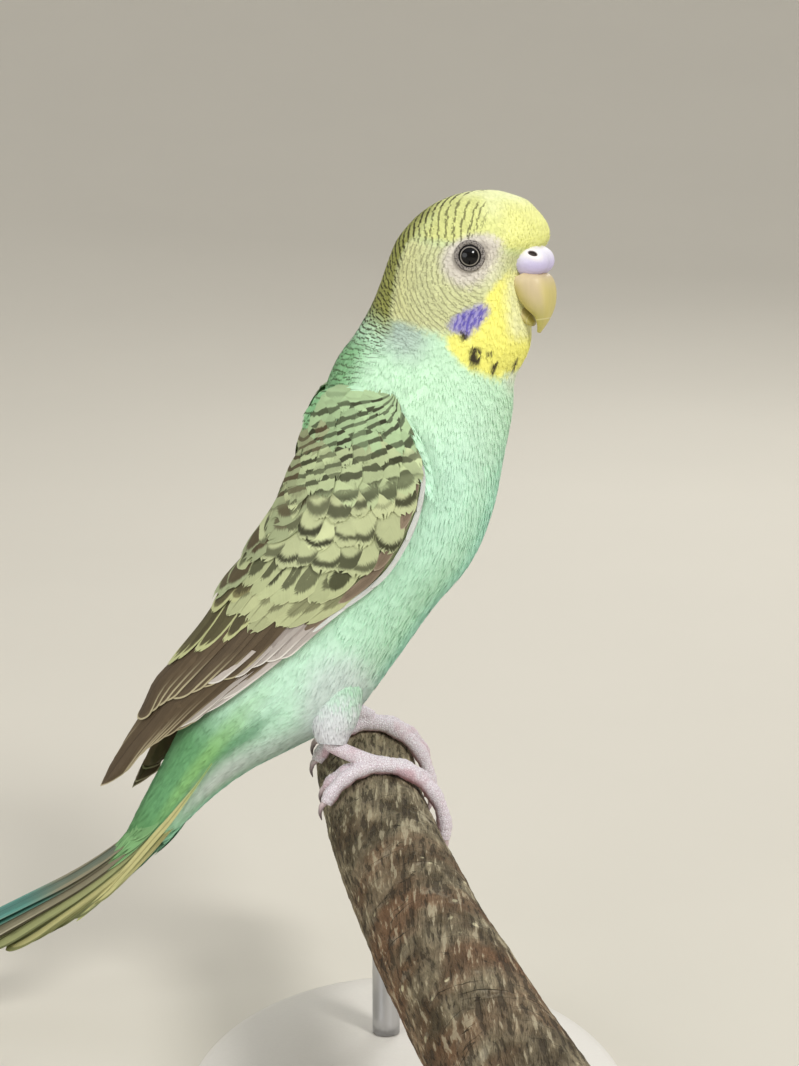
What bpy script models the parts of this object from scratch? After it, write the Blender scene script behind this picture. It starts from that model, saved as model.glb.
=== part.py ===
"""A budgerigar at life size, gripping a short cut branch on a plain display stand.

The bird faces +X with its right side towards -Y, and its head is turned to its right.
Sizes are millimetres in the bird's own frame, whose origin is the top of the branch
between the feet; stand_place moves it so that the model's origin is the centre of
the base's underside, in metres, +Z up.
"""
import math

import bmesh
import bpy
import numpy as np
from mathutils import Vector
from mathutils.bvhtree import BVHTree

MM = 0.001

# Stand and branch
PERCH_TOP_HEIGHT = 56.0
BASE_CENTRE = (5.0, -50.0)
BASE_HALF_SIZE = (40.0, 60.0)
BASE_THICKNESS = 8.0
BASE_EDGE = 1.2
ROD_RADIUS = 2.6
ROD_PLACES = (-22.0, -88.0)
PERCH_RADIUS = 10.1
PERCH_FAR_END = 21.0
PERCH_NEAR_END = -153.0
PERCH_OFFSET = -1.6
PERCH_SLANT = -0.105
PERCH_BEND = 0.000383
PERCH_RISE_START = -12.0
PERCH_RISE = 0.004
PERCH_STATIONS = 24
GAP = 0.3

# Head
HEAD_YAW = 25.0
HEAD_AXIS = (15.5, 0.0)
EYE_STATION = 16.15
EYE_ANGLE = 115.0
EYE_RADIUS = 3.1
EYE_DEPTH = 2.0
LID_RADIUS = 2.62
LID_THICKNESS = 0.5
LID_FLATNESS = 1.3
LID_POINTS = 16
LID_SIDES = 6
BILL_ROOM = 0.35
CERE_PLACE = (14.3, 1.2, 97.0)
CERE_RADII = (3.5, 3.4, 2.9)
NOSTRIL_PLACE = (15.7, 2.4, 99.2)
NOSTRIL_RADII = (0.9, 0.55, 0.7)

# Body sections from the tail coverts to the crown. Each has the points where the
# plumage meets the back and the front outline, half its width, the wings' depth over
# its back, and how much of the head's turn it takes.
SECTIONS = (
    ("coverts_end", -50.0, -14.6, -44.6, -17.6, 3.6, 0.0, 0.0),
    ("coverts", -47.0, -8.6, -38.9, -13.4, 5.6, 0.0, 0.0),
    ("undertail", -43.2, -1.4, -32.8, -7.5, 7.8, 0.0, 0.0),
    ("vent", -38.6, 7.6, -25.4, -2.0, 10.2, 0.0, 0.0),
    ("rump", -33.8, 17.6, -16.0, 3.0, 12.6, 0.6, 0.0),
    ("lower_belly", -29.6, 28.2, -5.8, 8.7, 14.4, 1.6, 0.0),
    ("belly", -26.5, 38.8, 2.5, 19.4, 15.6, 2.8, 0.0),
    ("mid", -22.8, 47.0, 9.9, 30.0, 16.3, 3.0, 0.0),
    ("breast", -18.5, 55.2, 17.0, 38.6, 16.5, 2.8, 0.0),
    ("upper_breast", -15.2, 63.1, 21.2, 48.4, 16.2, 2.2, 0.0),
    ("shoulders", -12.5, 70.2, 23.4, 59.4, 15.4, 1.0, 0.0),
    ("crop", -8.8, 77.5, 25.0, 68.3, 14.2, 0.0, 0.1),
    ("neck", -4.8, 83.2, 25.4, 74.4, 13.2, 0.0, 0.35),
    ("throat", -2.0, 88.5, 28.2, 80.1, 12.9, 0.0, 0.7),
    ("chin", -0.1, 93.4, 28.6, 85.6, 13.1, 0.0, 0.95),
    ("gape", 1.3, 97.1, 28.2, 91.1, 13.1, 0.0, 1.0),
    ("eyes", 2.8, 100.5, 28.9, 96.4, 12.8, 0.0, 1.0),
    ("brow", 4.5, 102.9, 31.4, 100.5, 12.2, 0.0, 1.0),
    ("forehead", 6.9, 105.3, 31.2, 103.1, 11.1, 0.0, 1.0),
    ("crown_front", 10.1, 107.4, 29.4, 105.5, 9.4, 0.0, 1.0),
    ("crown", 13.8, 108.9, 26.8, 107.9, 6.8, 0.0, 1.0),
    ("top", 17.6, 109.7, 23.2, 109.4, 3.0, 0.0, 1.0),
)
TABLE = np.array([row[1:] for row in SECTIONS])
TAIL_SPAN = (0.0, 2.0)
RUMP_SPAN = (2.05, 4.3)
TORSO_SPAN = (4.36, 10.9)
NECK_SPAN = (10.95, 12.93)
HEAD_SPAN = (13.0, 21.0)
RING_POINTS = 28
BODY_SQUARENESS = 2.12

# Folded wing, from the shoulder to the tip: its lower edge and upper edge seen from
# the side, half the width across both wings there, and the upper edge's distance
# from the middle of the back.
WING_SECTIONS = (
    (4.6, 68.9, -2.4, 73.6, 14.6, 10.0),
    (7.4, 62.6, -9.6, 73.2, 16.9, 9.2),
    (8.2, 56.6, -13.2, 69.4, 18.2, 7.6),
    (6.6, 50.2, -15.6, 63.8, 18.5, 6.2),
    (3.4, 43.6, -18.4, 57.0, 18.4, 5.2),
    (-0.6, 38.4, -22.0, 49.6, 17.9, 4.4),
    (-6.2, 34.0, -26.4, 41.8, 17.1, 3.8),
    (-12.6, 28.8, -30.8, 34.6, 15.9, 3.3),
    (-19.0, 22.8, -35.0, 27.6, 14.5, 2.9),
    (-26.2, 16.8, -40.0, 21.4, 12.6, 2.5),
    (-33.2, 11.4, -44.2, 16.2, 10.4, 2.2),
    (-39.4, 7.4, -46.8, 10.4, 8.2, 2.2),
    (-45.8, 2.6, -50.6, 4.2, 6.4, 2.4),
    (-52.4, -3.2, -54.2, -3.0, 5.0, 3.2),
)
WING_TABLE = np.array(WING_SECTIONS)
WING_LAST = len(WING_SECTIONS) - 1
WING_LOW_ANGLE = 98.0
WING_THICKNESS = 1.7
WING_EDGE = 0.9
WING_CLEAR = 0.5
WING_CORE_END = 11.6
WING_PIVOT = (-3.0, 68.0)
WING_DROP = {1: 0.0, -1: 3.8}

# Feathers of one wing, tier by tier: how many, the root and the tip of the first and of
# the last one as (s, q), half their width, and how far the tips stand up
WING_TIERS = (
    ("primaries", 6, (6.6, 0.16), (13.0, 0.50), (6.8, 0.50), (9.9, 0.86), 2.7, 0.10, 4),
    ("secondaries", 4, (5.4, 0.50), (9.5, 0.68), (5.2, 0.86), (8.4, 0.93), 3.0, 0.30, 3),
    ("greater_coverts", 6, (4.6, 0.12), (7.4, 0.16), (4.0, 0.86), (6.9, 0.88), 2.7, 0.45, 2),
    ("median_coverts", 5, (3.3, 0.14), (5.4, 0.14), (2.8, 0.84), (4.9, 0.86), 3.0, 0.55, 2),
    ("lesser_coverts", 5, (2.1, 0.14), (3.8, 0.14), (1.6, 0.84), (3.2, 0.86), 2.7, 0.60, 2),
    ("shoulder_coverts", 4, (0.9, 0.16), (2.4, 0.14), (0.7, 0.84), (1.9, 0.86), 2.5, 0.60, 2),
)
WING_ROOT_DEPTH = -0.9
WING_VANE_CUP = 0.2

# Tail feathers from the middle pair outwards: length, half width, distance sideways from
# the middle, drop below the back, pitch below level past the bend, roll of the blade
TAIL_ROOT = (-41.6, -8.0)
TAIL_ROOT_PITCH = 48.0
TAIL_BEND = 30.0
TAIL_FEATHERS = (
    (66.0, 2.5, 1.5, 0.3, 27.0, 14.0),
    (56.0, 2.5, 2.1, 1.0, 30.0, 24.0),
    (49.0, 2.4, 2.5, 1.6, 33.2, 33.0),
    (44.5, 2.3, 2.8, 2.1, 36.6, 41.0),
    (36.0, 2.2, 3.0, 2.5, 39.6, 50.0),
    (28.0, 2.0, 3.1, 2.8, 42.0, 58.0),
)
TAIL_CUP = 0.08
VANE_THICKNESS = 0.55

# Legs: thigh, shank and toes
# name: place along the branch, and how high the ankle stands over the toes
FEET = {"right": (-12.5, 0.0), "left": (11.0, 1.9)}
THIGH_RADII = (6.3, 5.8, 4.1, 2.6)
SHANK_RADIUS = 1.55
SHANK_START = 0.8
TOE_RADIUS = 1.55
TOE_RADII = (1.6, 1.5, 1.65, 1.4, 1.5, 1.3, 1.1)
CLAW_RADII = (0.8, 0.62, 0.42, 0.12)
CLAW_ARCH = ((0.0, 0.0), (0.4, 0.5), (0.75, 0.3), (1.0, -0.35))
CLAW_OVERLAP = 3.0
# toe: wrap from, wrap to (degrees round the branch), slide along it, claw turn
TOES = {
    "inner_front": (84.0, 12.0, 3.2, 22.0),
    "outer_front": (84.0, -10.0, -3.6, 22.0),
    "inner_back": (96.0, 146.0, 3.6, -18.0),
    "outer_back": (96.0, 153.0, -2.6, -18.0),
}

COLOURS = {
    "plumage": (0.46, 0.74, 0.52),
    "mask": (0.86, 0.82, 0.30),
    "wing": (0.48, 0.50, 0.26),
    "tail": (0.40, 0.50, 0.26),
    "cere": (0.60, 0.57, 0.78),
    "bill": (0.72, 0.60, 0.30),
    "eye": (0.01, 0.01, 0.012),
    "leg_skin": (0.64, 0.50, 0.54),
    "bark": (0.20, 0.15, 0.10),
    "stand": (0.72, 0.70, 0.66),
    "steel": (0.55, 0.55, 0.56),
}


def clear_scene():
    for obj in list(bpy.data.objects):
        bpy.data.objects.remove(obj, do_unlink=True)


def new_collection(name):
    group = bpy.data.collections.new(name)
    bpy.context.scene.collection.children.link(group)
    return group


def finish_material(name, roughness=0.7, metallic=0.0):
    found = bpy.data.materials.get(name)
    if found:
        return found
    made = bpy.data.materials.new(name)
    made.use_nodes = True
    shader = made.node_tree.nodes["Principled BSDF"]
    shader.inputs["Base Color"].default_value = (*COLOURS[name], 1.0)
    shader.inputs["Roughness"].default_value = roughness
    shader.inputs["Metallic"].default_value = metallic
    made.diffuse_color = (*COLOURS[name], 1.0)
    return made


def stand_place(points):
    """Points of the bird's frame, in millimetres, in the model's frame, in metres."""
    shift = np.array([BASE_CENTRE[0], BASE_CENTRE[1], -PERCH_TOP_HEIGHT])
    return (np.asarray(points, float) - shift) * MM


def between(table, t):
    """The row of a table at a fractional index, along a smooth curve through its rows."""
    last = len(table) - 1
    i = int(min(max(math.floor(t), 0), last - 1))
    u = t - i
    p1 = table[i]
    p2 = table[i + 1]
    p0 = table[i - 1] if i > 0 else 2 * p1 - p2
    p3 = table[i + 2] if i + 2 <= last else 2 * p2 - p1
    if u < 0.0 or u > 1.0:
        slope = (p2 - p0) / 2 if u < 0.0 else (p3 - p1) / 2
        return (p1 + slope * u) if u < 0.0 else (p2 + slope * (u - 1.0))
    return 0.5 * (
        2 * p1
        + (p2 - p0) * u
        + (2 * p0 - 5 * p1 + 4 * p2 - p3) * u**2
        + (3 * p1 - p0 - 3 * p2 + p3) * u**3
    )


def body_point(t, angle, grow=0.0):
    """A point of the plumage: 0 degrees is the back, 90 the right side, 180 the front."""
    back_x, back_z, front_x, front_z, width, wing_depth, turn = between(TABLE, t)
    back = np.array([back_x, 0.0, back_z])
    front = np.array([front_x, 0.0, front_z])
    depth = np.linalg.norm(back - front)
    back = back + (front - back) * wing_depth / depth
    middle = (back + front) / 2
    arm = (back - front) / 2
    arm = arm * (1 + grow / np.linalg.norm(arm))
    square = 2.0 if t > HEAD_SPAN[0] - 1.0 else BODY_SQUARENESS
    c = math.cos(math.radians(angle))
    s = math.sin(math.radians(angle))
    c = math.copysign(abs(c) ** (2 / square), c)
    s = math.copysign(abs(s) ** (2 / square), s)
    offset = arm * c + np.array([0.0, -(width + grow) * s, 0.0])
    yaw = -math.radians(HEAD_YAW * turn)
    turned = np.array([
        offset[0] * math.cos(yaw) - offset[1] * math.sin(yaw),
        offset[0] * math.sin(yaw) + offset[1] * math.cos(yaw),
        offset[2],
    ])
    return middle + turned


def head_frame(forward, side, up):
    """A point by its distance forward of the head's axis, to the bird's right, and up."""
    yaw = -math.radians(HEAD_YAW)
    ahead = np.array([math.cos(yaw), math.sin(yaw), 0.0])
    right = np.array([math.sin(yaw), -math.cos(yaw), 0.0])
    start = np.array([HEAD_AXIS[0], HEAD_AXIS[1], 0.0])
    return start + ahead * forward + right * side + np.array([0.0, 0.0, up])


def lofted(rings):
    """Points and faces of a closed solid through rings of equal length."""
    rings = [np.asarray(ring) for ring in rings]
    count = len(rings[0])
    points = [p for ring in rings for p in ring]
    faces = []
    for i in range(len(rings) - 1):
        for j in range(count):
            k = (j + 1) % count
            a = i * count
            b = (i + 1) * count
            faces.append((a + j, a + k, b + k, b + j))
    for ring, first in ((rings[0], 0), (rings[-1], (len(rings) - 1) * count)):
        centre = len(points)
        points.append(ring.mean(axis=0))
        for j in range(count):
            k = (j + 1) % count
            corners = (first + k, first + j, centre)
            faces.append(corners if first == 0 else corners[::-1])
    return points, faces


def made_mesh(name, points, faces):
    mesh = bpy.data.meshes.new(name)
    mesh.from_pydata([tuple(p) for p in stand_place(points)], [], faces)
    shape = bmesh.new()
    shape.from_mesh(mesh)
    bmesh.ops.remove_doubles(shape, verts=shape.verts, dist=1e-6)
    bmesh.ops.recalc_face_normals(shape, faces=shape.faces)
    shape.to_mesh(mesh)
    shape.free()
    return mesh


def solid(name, points, faces, group):
    obj = bpy.data.objects.new(name, made_mesh(name, points, faces))
    group.objects.link(obj)
    return obj


def helper(obj):
    obj.hide_render = True
    obj.display_type = "WIRE"
    return obj


def body_solid(name, span, group, grow=0.0, steps=2):
    count = max(2, int(round((span[1] - span[0]) * steps)) + 1)
    angles = np.arange(RING_POINTS) * 360.0 / RING_POINTS
    rings = [
        [body_point(t, angle, grow) for angle in angles]
        for t in np.linspace(span[0], span[1], count)
    ]
    return solid(name, *lofted(rings), group)


def tube(name, points, radii, group, sides=2, order="POLY"):
    """A round bar along points, with its own radius at each, as a closed mesh."""
    curve = bpy.data.curves.new(name, "CURVE")
    curve.dimensions = "3D"
    curve.bevel_depth = MM
    curve.bevel_resolution = sides
    curve.use_fill_caps = True
    spline = curve.splines.new(order)
    spline.points.add(len(points) - 1)
    for spot, place, radius in zip(spline.points, stand_place(points), radii):
        spot.co = (*place, 1.0)
        spot.radius = radius
    guide = bpy.data.objects.new(name + "_line", curve)
    group.objects.link(guide)
    graph = bpy.context.evaluated_depsgraph_get()
    mesh = bpy.data.meshes.new_from_object(guide.evaluated_get(graph))
    made = bpy.data.objects.new(name, mesh)
    made.matrix_world = guide.matrix_world
    group.objects.link(made)
    bpy.data.objects.remove(guide, do_unlink=True)
    shape = bmesh.new()
    shape.from_mesh(mesh)
    bmesh.ops.remove_doubles(shape, verts=shape.verts, dist=1e-6)
    bmesh.ops.recalc_face_normals(shape, faces=shape.faces)
    shape.to_mesh(mesh)
    shape.free()
    return made


def smooth_path(knots, count):
    table = np.array(knots, float)
    return [between(table, t) for t in np.linspace(0, len(table) - 1, count)]


def keep_largest(mesh):
    """Leaves only the largest closed surface."""
    shape = bmesh.new()
    shape.from_mesh(mesh)
    bmesh.ops.remove_doubles(shape, verts=shape.verts, dist=1e-6)
    bmesh.ops.dissolve_degenerate(shape, edges=shape.edges, dist=2e-6)
    shape.faces.ensure_lookup_table()
    seen = set()
    pieces = []
    for face in shape.faces:
        if face in seen:
            continue
        piece = {face}
        front = [face]
        while front:
            for edge in front.pop().edges:
                for other in edge.link_faces:
                    if other not in piece:
                        piece.add(other)
                        front.append(other)
        seen |= piece
        pieces.append(piece)
    largest = max(pieces, key=lambda piece: sum(face.calc_area() for face in piece))
    rest = [face for face in shape.faces if face not in largest]
    bmesh.ops.delete(shape, geom=rest, context="FACES")
    bmesh.ops.triangulate(shape, faces=shape.faces)
    shape.to_mesh(mesh)
    shape.free()


def applied_boolean(obj, operation, pieces, group, solver="EXACT"):
    """One Boolean with a collection of closed meshes, applied, with the pieces removed."""
    others = bpy.data.collections.new(obj.name + "_pieces")
    group.children.link(others)
    for piece in pieces:
        for owner in list(piece.users_collection):
            owner.objects.unlink(piece)
        others.objects.link(helper(piece))
    modifier = obj.modifiers.new(operation.lower(), "BOOLEAN")
    modifier.operation = operation
    modifier.operand_type = "COLLECTION"
    modifier.collection = others
    modifier.solver = solver
    graph = bpy.context.evaluated_depsgraph_get()
    mesh = bpy.data.meshes.new_from_object(obj.evaluated_get(graph))
    obj.modifiers.clear()
    mesh.materials.clear()
    obj.data = mesh
    for piece in pieces:
        bpy.data.objects.remove(piece, do_unlink=True)
    bpy.data.collections.remove(others)
    keep_largest(mesh)


def shaded(obj, material, angle=40.0):
    obj.data.materials.clear()
    obj.data.materials.append(material)
    obj.data.shade_smooth()
    obj.data.set_sharp_from_angle(angle=math.radians(angle))
    return obj


def perch_axis(along):
    """The branch's centre line at a distance along Y."""
    x = PERCH_OFFSET + PERCH_SLANT * along + PERCH_BEND * along**2
    rise = PERCH_RISE * max(0.0, along - PERCH_RISE_START) ** 2
    return np.array([x, along, rise - PERCH_RADIUS])


def perch_side(along):
    slope = PERCH_SLANT + 2 * PERCH_BEND * along
    side = np.array([1.0, -slope, 0.0])
    return side / np.linalg.norm(side)


def perch_up(along):
    """Straight up, stretched as an upright section of the rising branch is."""
    slope = 2 * PERCH_RISE * max(0.0, along - PERCH_RISE_START)
    return np.array([0.0, 0.0, math.hypot(1.0, slope)])


def round_perch(along, angle, distance):
    """A point beside the branch: angle 90 is its top and 0 its front."""
    a = math.radians(angle)
    out = math.cos(a) * perch_side(along) + math.sin(a) * perch_up(along)
    return perch_axis(along) + distance * out


def lid_ring(side, group):
    """A raised ring of lid round one eye, lying on the head's surface."""
    place = body_point(EYE_STATION, side * EYE_ANGLE)
    outward = eye_direction(side)
    across = np.cross([0.0, 0.0, 1.0], outward)
    across /= np.linalg.norm(across)
    upward = np.cross(outward, across)
    points = []
    faces = []
    for i in range(LID_POINTS):
        a = 2 * math.pi * i / LID_POINTS
        out = across * math.cos(a) + upward * math.sin(a)
        n = (i + 1) % LID_POINTS
        for j in range(LID_SIDES):
            b = 2 * math.pi * j / LID_SIDES
            rim = LID_THICKNESS * (out * math.cos(b) * LID_FLATNESS + outward * math.sin(b))
            points.append(place + out * LID_RADIUS + rim)
            k = (j + 1) % LID_SIDES
            here = i * LID_SIDES
            there = n * LID_SIDES
            faces.append((here + j, here + k, there + k, there + j))
    return solid("lid", points, faces, group)


def eye_direction(side):
    angle = side * EYE_ANGLE
    ahead = body_point(EYE_STATION + 0.3, angle) - body_point(EYE_STATION - 0.3, angle)
    round_head = body_point(EYE_STATION, angle + 8) - body_point(EYE_STATION, angle - 8)
    outward = np.cross(ahead, round_head)
    outward /= np.linalg.norm(outward)
    centre = (body_point(EYE_STATION, 0) + body_point(EYE_STATION, 180)) / 2
    return outward if outward @ (body_point(EYE_STATION, angle) - centre) > 0 else -outward


def eye_centre(side):
    return body_point(EYE_STATION, side * EYE_ANGLE) - eye_direction(side) * EYE_DEPTH


def ball(name, centre, radii, group, segments=16, rings=9, yaw=0.0):
    mesh = bpy.data.meshes.new(name)
    shape = bmesh.new()
    bmesh.ops.create_uvsphere(shape, u_segments=segments, v_segments=rings, radius=MM)
    c = math.cos(math.radians(yaw))
    s = math.sin(math.radians(yaw))
    place = stand_place(centre)
    for vert in shape.verts:
        x = vert.co.x * radii[0]
        y = vert.co.y * radii[1]
        vert.co = (place[0] + x * c - y * s, place[1] + x * s + y * c, place[2] + vert.co.z * radii[2])
    shape.to_mesh(mesh)
    shape.free()
    obj = bpy.data.objects.new(name, mesh)
    group.objects.link(obj)
    return obj


def bill_solid(name, profile, group, points_round=12):
    """A bill half: a loft through sections between its outer and inner edge."""
    rings = []
    for outer_f, outer_z, inner_f, inner_z, half in profile:
        ring = []
        for i in range(points_round):
            a = 2 * math.pi * i / points_round
            share = (1 + math.cos(a)) / 2
            forward = inner_f + (outer_f - inner_f) * share
            up = inner_z + (outer_z - inner_z) * share
            ring.append(head_frame(forward, half * math.sin(a), up))
        rings.append(ring)
    return solid(name, *lofted(rings), group)


UPPER_BILL = (
    (14.2, 95.2, 9.6, 92.8, 4.3),
    (16.8, 94.3, 11.0, 91.5, 4.4),
    (17.9, 92.1, 12.3, 89.6, 4.1),
    (18.1, 89.5, 13.5, 88.1, 3.4),
    (17.7, 87.3, 14.8, 86.8, 2.5),
    (16.9, 85.4, 15.2, 85.2, 1.5),
    (15.7, 83.6, 15.1, 83.8, 0.5),
)
LOWER_BILL = (
    (9.4, 91.0, 9.4, 86.2, 3.2),
    (11.6, 90.2, 11.4, 86.0, 3.2),
    (12.9, 88.6, 12.6, 85.4, 2.8),
    (13.9, 87.0, 13.6, 84.9, 2.0),
    (14.6, 85.7, 14.3, 84.8, 0.9),
)


def build_head(group, cutters):
    head = body_solid("head", HEAD_SPAN, group)
    lids = [lid_ring(side, group) for side in (1, -1)]
    applied_boolean(head, "UNION", lids, cutters)
    sockets = [
        ball("socket", eye_centre(side), [EYE_RADIUS + GAP] * 3, group) for side in (1, -1)
    ]
    applied_boolean(head, "DIFFERENCE", sockets, cutters)
    shaded(head, finish_material("mask"))


def build_eyes(group):
    for side, name in ((1, "eye_right"), (-1, "eye_left")):
        eye = ball(name, eye_centre(side), [EYE_RADIUS] * 3, group)
        shaded(eye, finish_material("eye", 0.1))


def head_room(group):
    """The head and throat grown by the gap, to cut from what meets them."""
    return body_solid("head_room", (11.8, HEAD_SPAN[1]), group, grow=GAP + 0.1)


def build_bill(group, cutters):
    upper = bill_solid("bill_upper", UPPER_BILL, group)
    applied_boolean(upper, "DIFFERENCE", [head_room(group)], cutters)
    lower = bill_solid("bill_lower", LOWER_BILL, group)
    applied_boolean(lower, "DIFFERENCE", [head_room(group)], cutters)
    forward, sideways, up = CERE_PLACE
    cere, lobe = (
        ball(name, head_frame(forward, side * sideways, up), CERE_RADII, group, yaw=-HEAD_YAW)
        for name, side in (("cere", 1), ("lobe", -1))
    )
    applied_boolean(cere, "UNION", [lobe], cutters)
    room = np.array([1, 1, -1, -1, 1]) * BILL_ROOM
    grown_bill = [np.array(row) + room for row in UPPER_BILL]
    rooms = [head_room(group), bill_solid("bill_room", grown_bill, group)]
    forward, sideways, up = NOSTRIL_PLACE
    for side in (1, -1):
        centre = head_frame(forward, side * sideways, up)
        rooms.append(ball("nostril", centre, NOSTRIL_RADII, group, 10, 8))
    applied_boolean(cere, "DIFFERENCE", rooms, cutters)
    shaded(upper, finish_material("bill", 0.45))
    shaded(lower, finish_material("bill", 0.45))
    shaded(cere, finish_material("cere", 0.55))


def wing_point(s, q, side, lift=0.0):
    """A wing's outer surface, as if on the right: s runs to the tip, q from lower edge up."""
    low_x, low_z, high_x, high_z, width, middle = between(WING_TABLE, s)
    low = math.radians(WING_LOW_ANGLE)
    high = math.asin(min(0.95, middle / width))
    angle = low + (high - low) * q
    share = (math.cos(angle) - math.cos(low)) / (math.cos(high) - math.cos(low))
    x = low_x + (high_x - low_x) * share - WING_PIVOT[0]
    z = low_z + (high_z - low_z) * share - WING_PIVOT[1]
    drop = math.radians(WING_DROP[side])
    point = np.array([
        WING_PIVOT[0] + x * math.cos(drop) - z * math.sin(drop),
        -width * math.sin(angle),
        WING_PIVOT[1] + x * math.sin(drop) + z * math.cos(drop),
    ])
    return point + wing_normal(s, q, side) * lift if lift else point


def wing_normal(s, q, side):
    step = 0.02
    along = wing_point(s + step, q, side) - wing_point(s - step, q, side)
    across = wing_point(s, q + step, side) - wing_point(s, q - step, side)
    normal = np.cross(across, along)
    normal /= np.linalg.norm(normal)
    return normal if normal[1] < 0 or abs(normal[1]) < 0.2 and normal[0] < 0 else -normal


def clear_of_body(point, tree, room):
    """The point itself, or moved out along the body's normal to leave room."""
    place, normal, _, _ = tree.find_nearest(Vector(point))
    outward = np.array(normal)
    height = float((np.array(point) - np.array(place)) @ outward)
    return np.array(point) if height >= room else np.array(point) + outward * (room - height)


def body_tree():
    """The whole plumage as a search tree, in millimetres of the bird's frame."""
    angles = np.arange(40) * 9.0
    rings = [[body_point(t, a) for a in angles] for t in np.linspace(0.0, 21.0, 64)]
    points, faces = lofted(rings)
    mesh = bpy.data.meshes.new("plumage")
    mesh.from_pydata([tuple(p) for p in points], [], faces)
    shape = bmesh.new()
    shape.from_mesh(mesh)
    bmesh.ops.recalc_face_normals(shape, faces=shape.faces)
    tree = BVHTree.FromBMesh(shape)
    shape.free()
    bpy.data.meshes.remove(mesh)
    return tree


def wing_core(name, side, tree, group, rows=14, columns=7):
    outer = []
    inner = []
    for i in range(rows):
        s = WING_CORE_END * i / (rows - 1)
        for j in range(columns):
            q = j / (columns - 1)
            point = wing_point(s, q, side)
            normal = wing_normal(s, q, side)
            rim = min(1.0, 5 * q, 5 * (1 - q), 1.4 * s, 0.7 * (WING_CORE_END - s))
            depth = WING_EDGE + (WING_THICKNESS - WING_EDGE) * rim
            under = clear_of_body(point - normal * depth, tree, WING_CLEAR)
            outer.append(clear_of_body(point, tree, WING_CLEAR + WING_EDGE))
            inner.append(under)
    points = np.array(outer + inner) * np.array([1.0, side, 1.0])
    total = rows * columns
    faces = []
    for i in range(rows - 1):
        for j in range(columns - 1):
            a = i * columns + j
            b = a + columns
            faces.append((a, b, b + 1))
            faces.append((a, b + 1, a + 1))
            faces.append((total + a, total + b + 1, total + b))
            faces.append((total + a, total + a + 1, total + b + 1))
    rim = [j for j in range(columns)]
    rim += [i * columns + columns - 1 for i in range(1, rows)]
    rim += [(rows - 1) * columns + j for j in range(columns - 2, -1, -1)]
    rim += [i * columns for i in range(rows - 2, 0, -1)]
    for a, b in zip(rim, rim[1:] + rim[:1]):
        faces.append((a, b, total + b))
        faces.append((a, total + b, total + a))
    return solid(name, points, faces, group)


def wing_feather(root, tip, half, lift, rows, side, tree, group):
    """One wing feather: a thin cupped vane from a sunk root to a rounded, raised tip."""
    root = np.array(root)
    tip = np.array(tip)
    shape = bmesh.new()
    bmesh.ops.create_grid(shape, x_segments=rows, y_segments=2, size=1.0)
    for vert in shape.verts:
        share = (vert.co.x + 1) / 2
        blade = 0.55 + 0.45 * math.sin(math.pi * min(1.0, share * 1.1) ** 0.8)
        blade = blade * (1.0 if share < 0.99 else 0.42)
        s, q = root + (tip - root) * share
        step = 0.05
        along = wing_point(s + step, q, side) - wing_point(s - step, q, side)
        across = wing_point(s, q + step, side) - wing_point(s, q - step, side)
        per_s = np.linalg.norm(along) / (2 * step)
        per_q = np.linalg.norm(across) / (2 * step)
        run = np.array([(tip[0] - root[0]) * per_s, (tip[1] - root[1]) * per_q])
        run /= np.linalg.norm(run)
        offset = vert.co.y * half * blade
        s = s - run[1] * offset / per_s
        q = q + run[0] * offset / per_q
        height = WING_ROOT_DEPTH + (lift - WING_ROOT_DEPTH) * min(1.0, share * 2.2)
        height -= WING_VANE_CUP * vert.co.y**2
        place = wing_point(s, q, side, height + VANE_THICKNESS)
        vert.co = Vector(clear_of_body(place, tree, WING_CLEAR + VANE_THICKNESS + 0.1))
    bmesh.ops.triangulate(shape, faces=shape.faces)
    bmesh.ops.recalc_face_normals(shape, faces=shape.faces)
    outward = Vector(wing_normal(*(root + tip) / 2, side))
    if sum((face.normal for face in shape.faces), Vector()) @ outward < 0:
        bmesh.ops.reverse_faces(shape, faces=shape.faces)
    bmesh.ops.solidify(shape, geom=shape.faces[:] + shape.edges[:] + shape.verts[:],
                       thickness=VANE_THICKNESS)
    for vert in shape.verts:
        vert.co = stand_place(np.array(vert.co) * np.array([1.0, side, 1.0]))
    bmesh.ops.recalc_face_normals(shape, faces=shape.faces)
    mesh = bpy.data.meshes.new("wing_feather")
    shape.to_mesh(mesh)
    shape.free()
    vane = bpy.data.objects.new("wing_feather", mesh)
    group.objects.link(vane)
    return vane


def build_wings(group, cutters):
    tree = body_tree()
    for side, name in ((1, "wing_right"), (-1, "wing_left")):
        wing = wing_core(name, side, tree, group)
        vanes = []
        for _, count, root_a, tip_a, root_b, tip_b, half, lift, rows in WING_TIERS:
            for i in range(count):
                share = i / (count - 1)
                root = [a + (b - a) * share for a, b in zip(root_a, root_b)]
                tip = [a + (b - a) * share for a, b in zip(tip_a, tip_b)]
                raised = lift + 0.05 * (i % 2)
                vanes.append(wing_feather(root, tip, half, raised, rows, side, tree, group))
        applied_boolean(wing, "UNION", vanes, cutters)
        shaded(wing, finish_material("wing"))


def tail_line(distance, end_pitch):
    """A tail feather's middle line, which bends up past its root, and its upward direction."""
    place = np.array([TAIL_ROOT[0], 0.0, TAIL_ROOT[1]])
    steps = 24
    for i in range(steps):
        share = min(1.0, (i + 0.5) / steps * distance / TAIL_BEND)
        pitch = math.radians(TAIL_ROOT_PITCH + (end_pitch - TAIL_ROOT_PITCH) * share)
        place = place + np.array([-math.cos(pitch), 0.0, -math.sin(pitch)]) * distance / steps
    share = min(1.0, distance / TAIL_BEND)
    pitch = math.radians(TAIL_ROOT_PITCH + (end_pitch - TAIL_ROOT_PITCH) * share)
    return place, np.array([-math.sin(pitch), 0.0, math.cos(pitch)])


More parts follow.
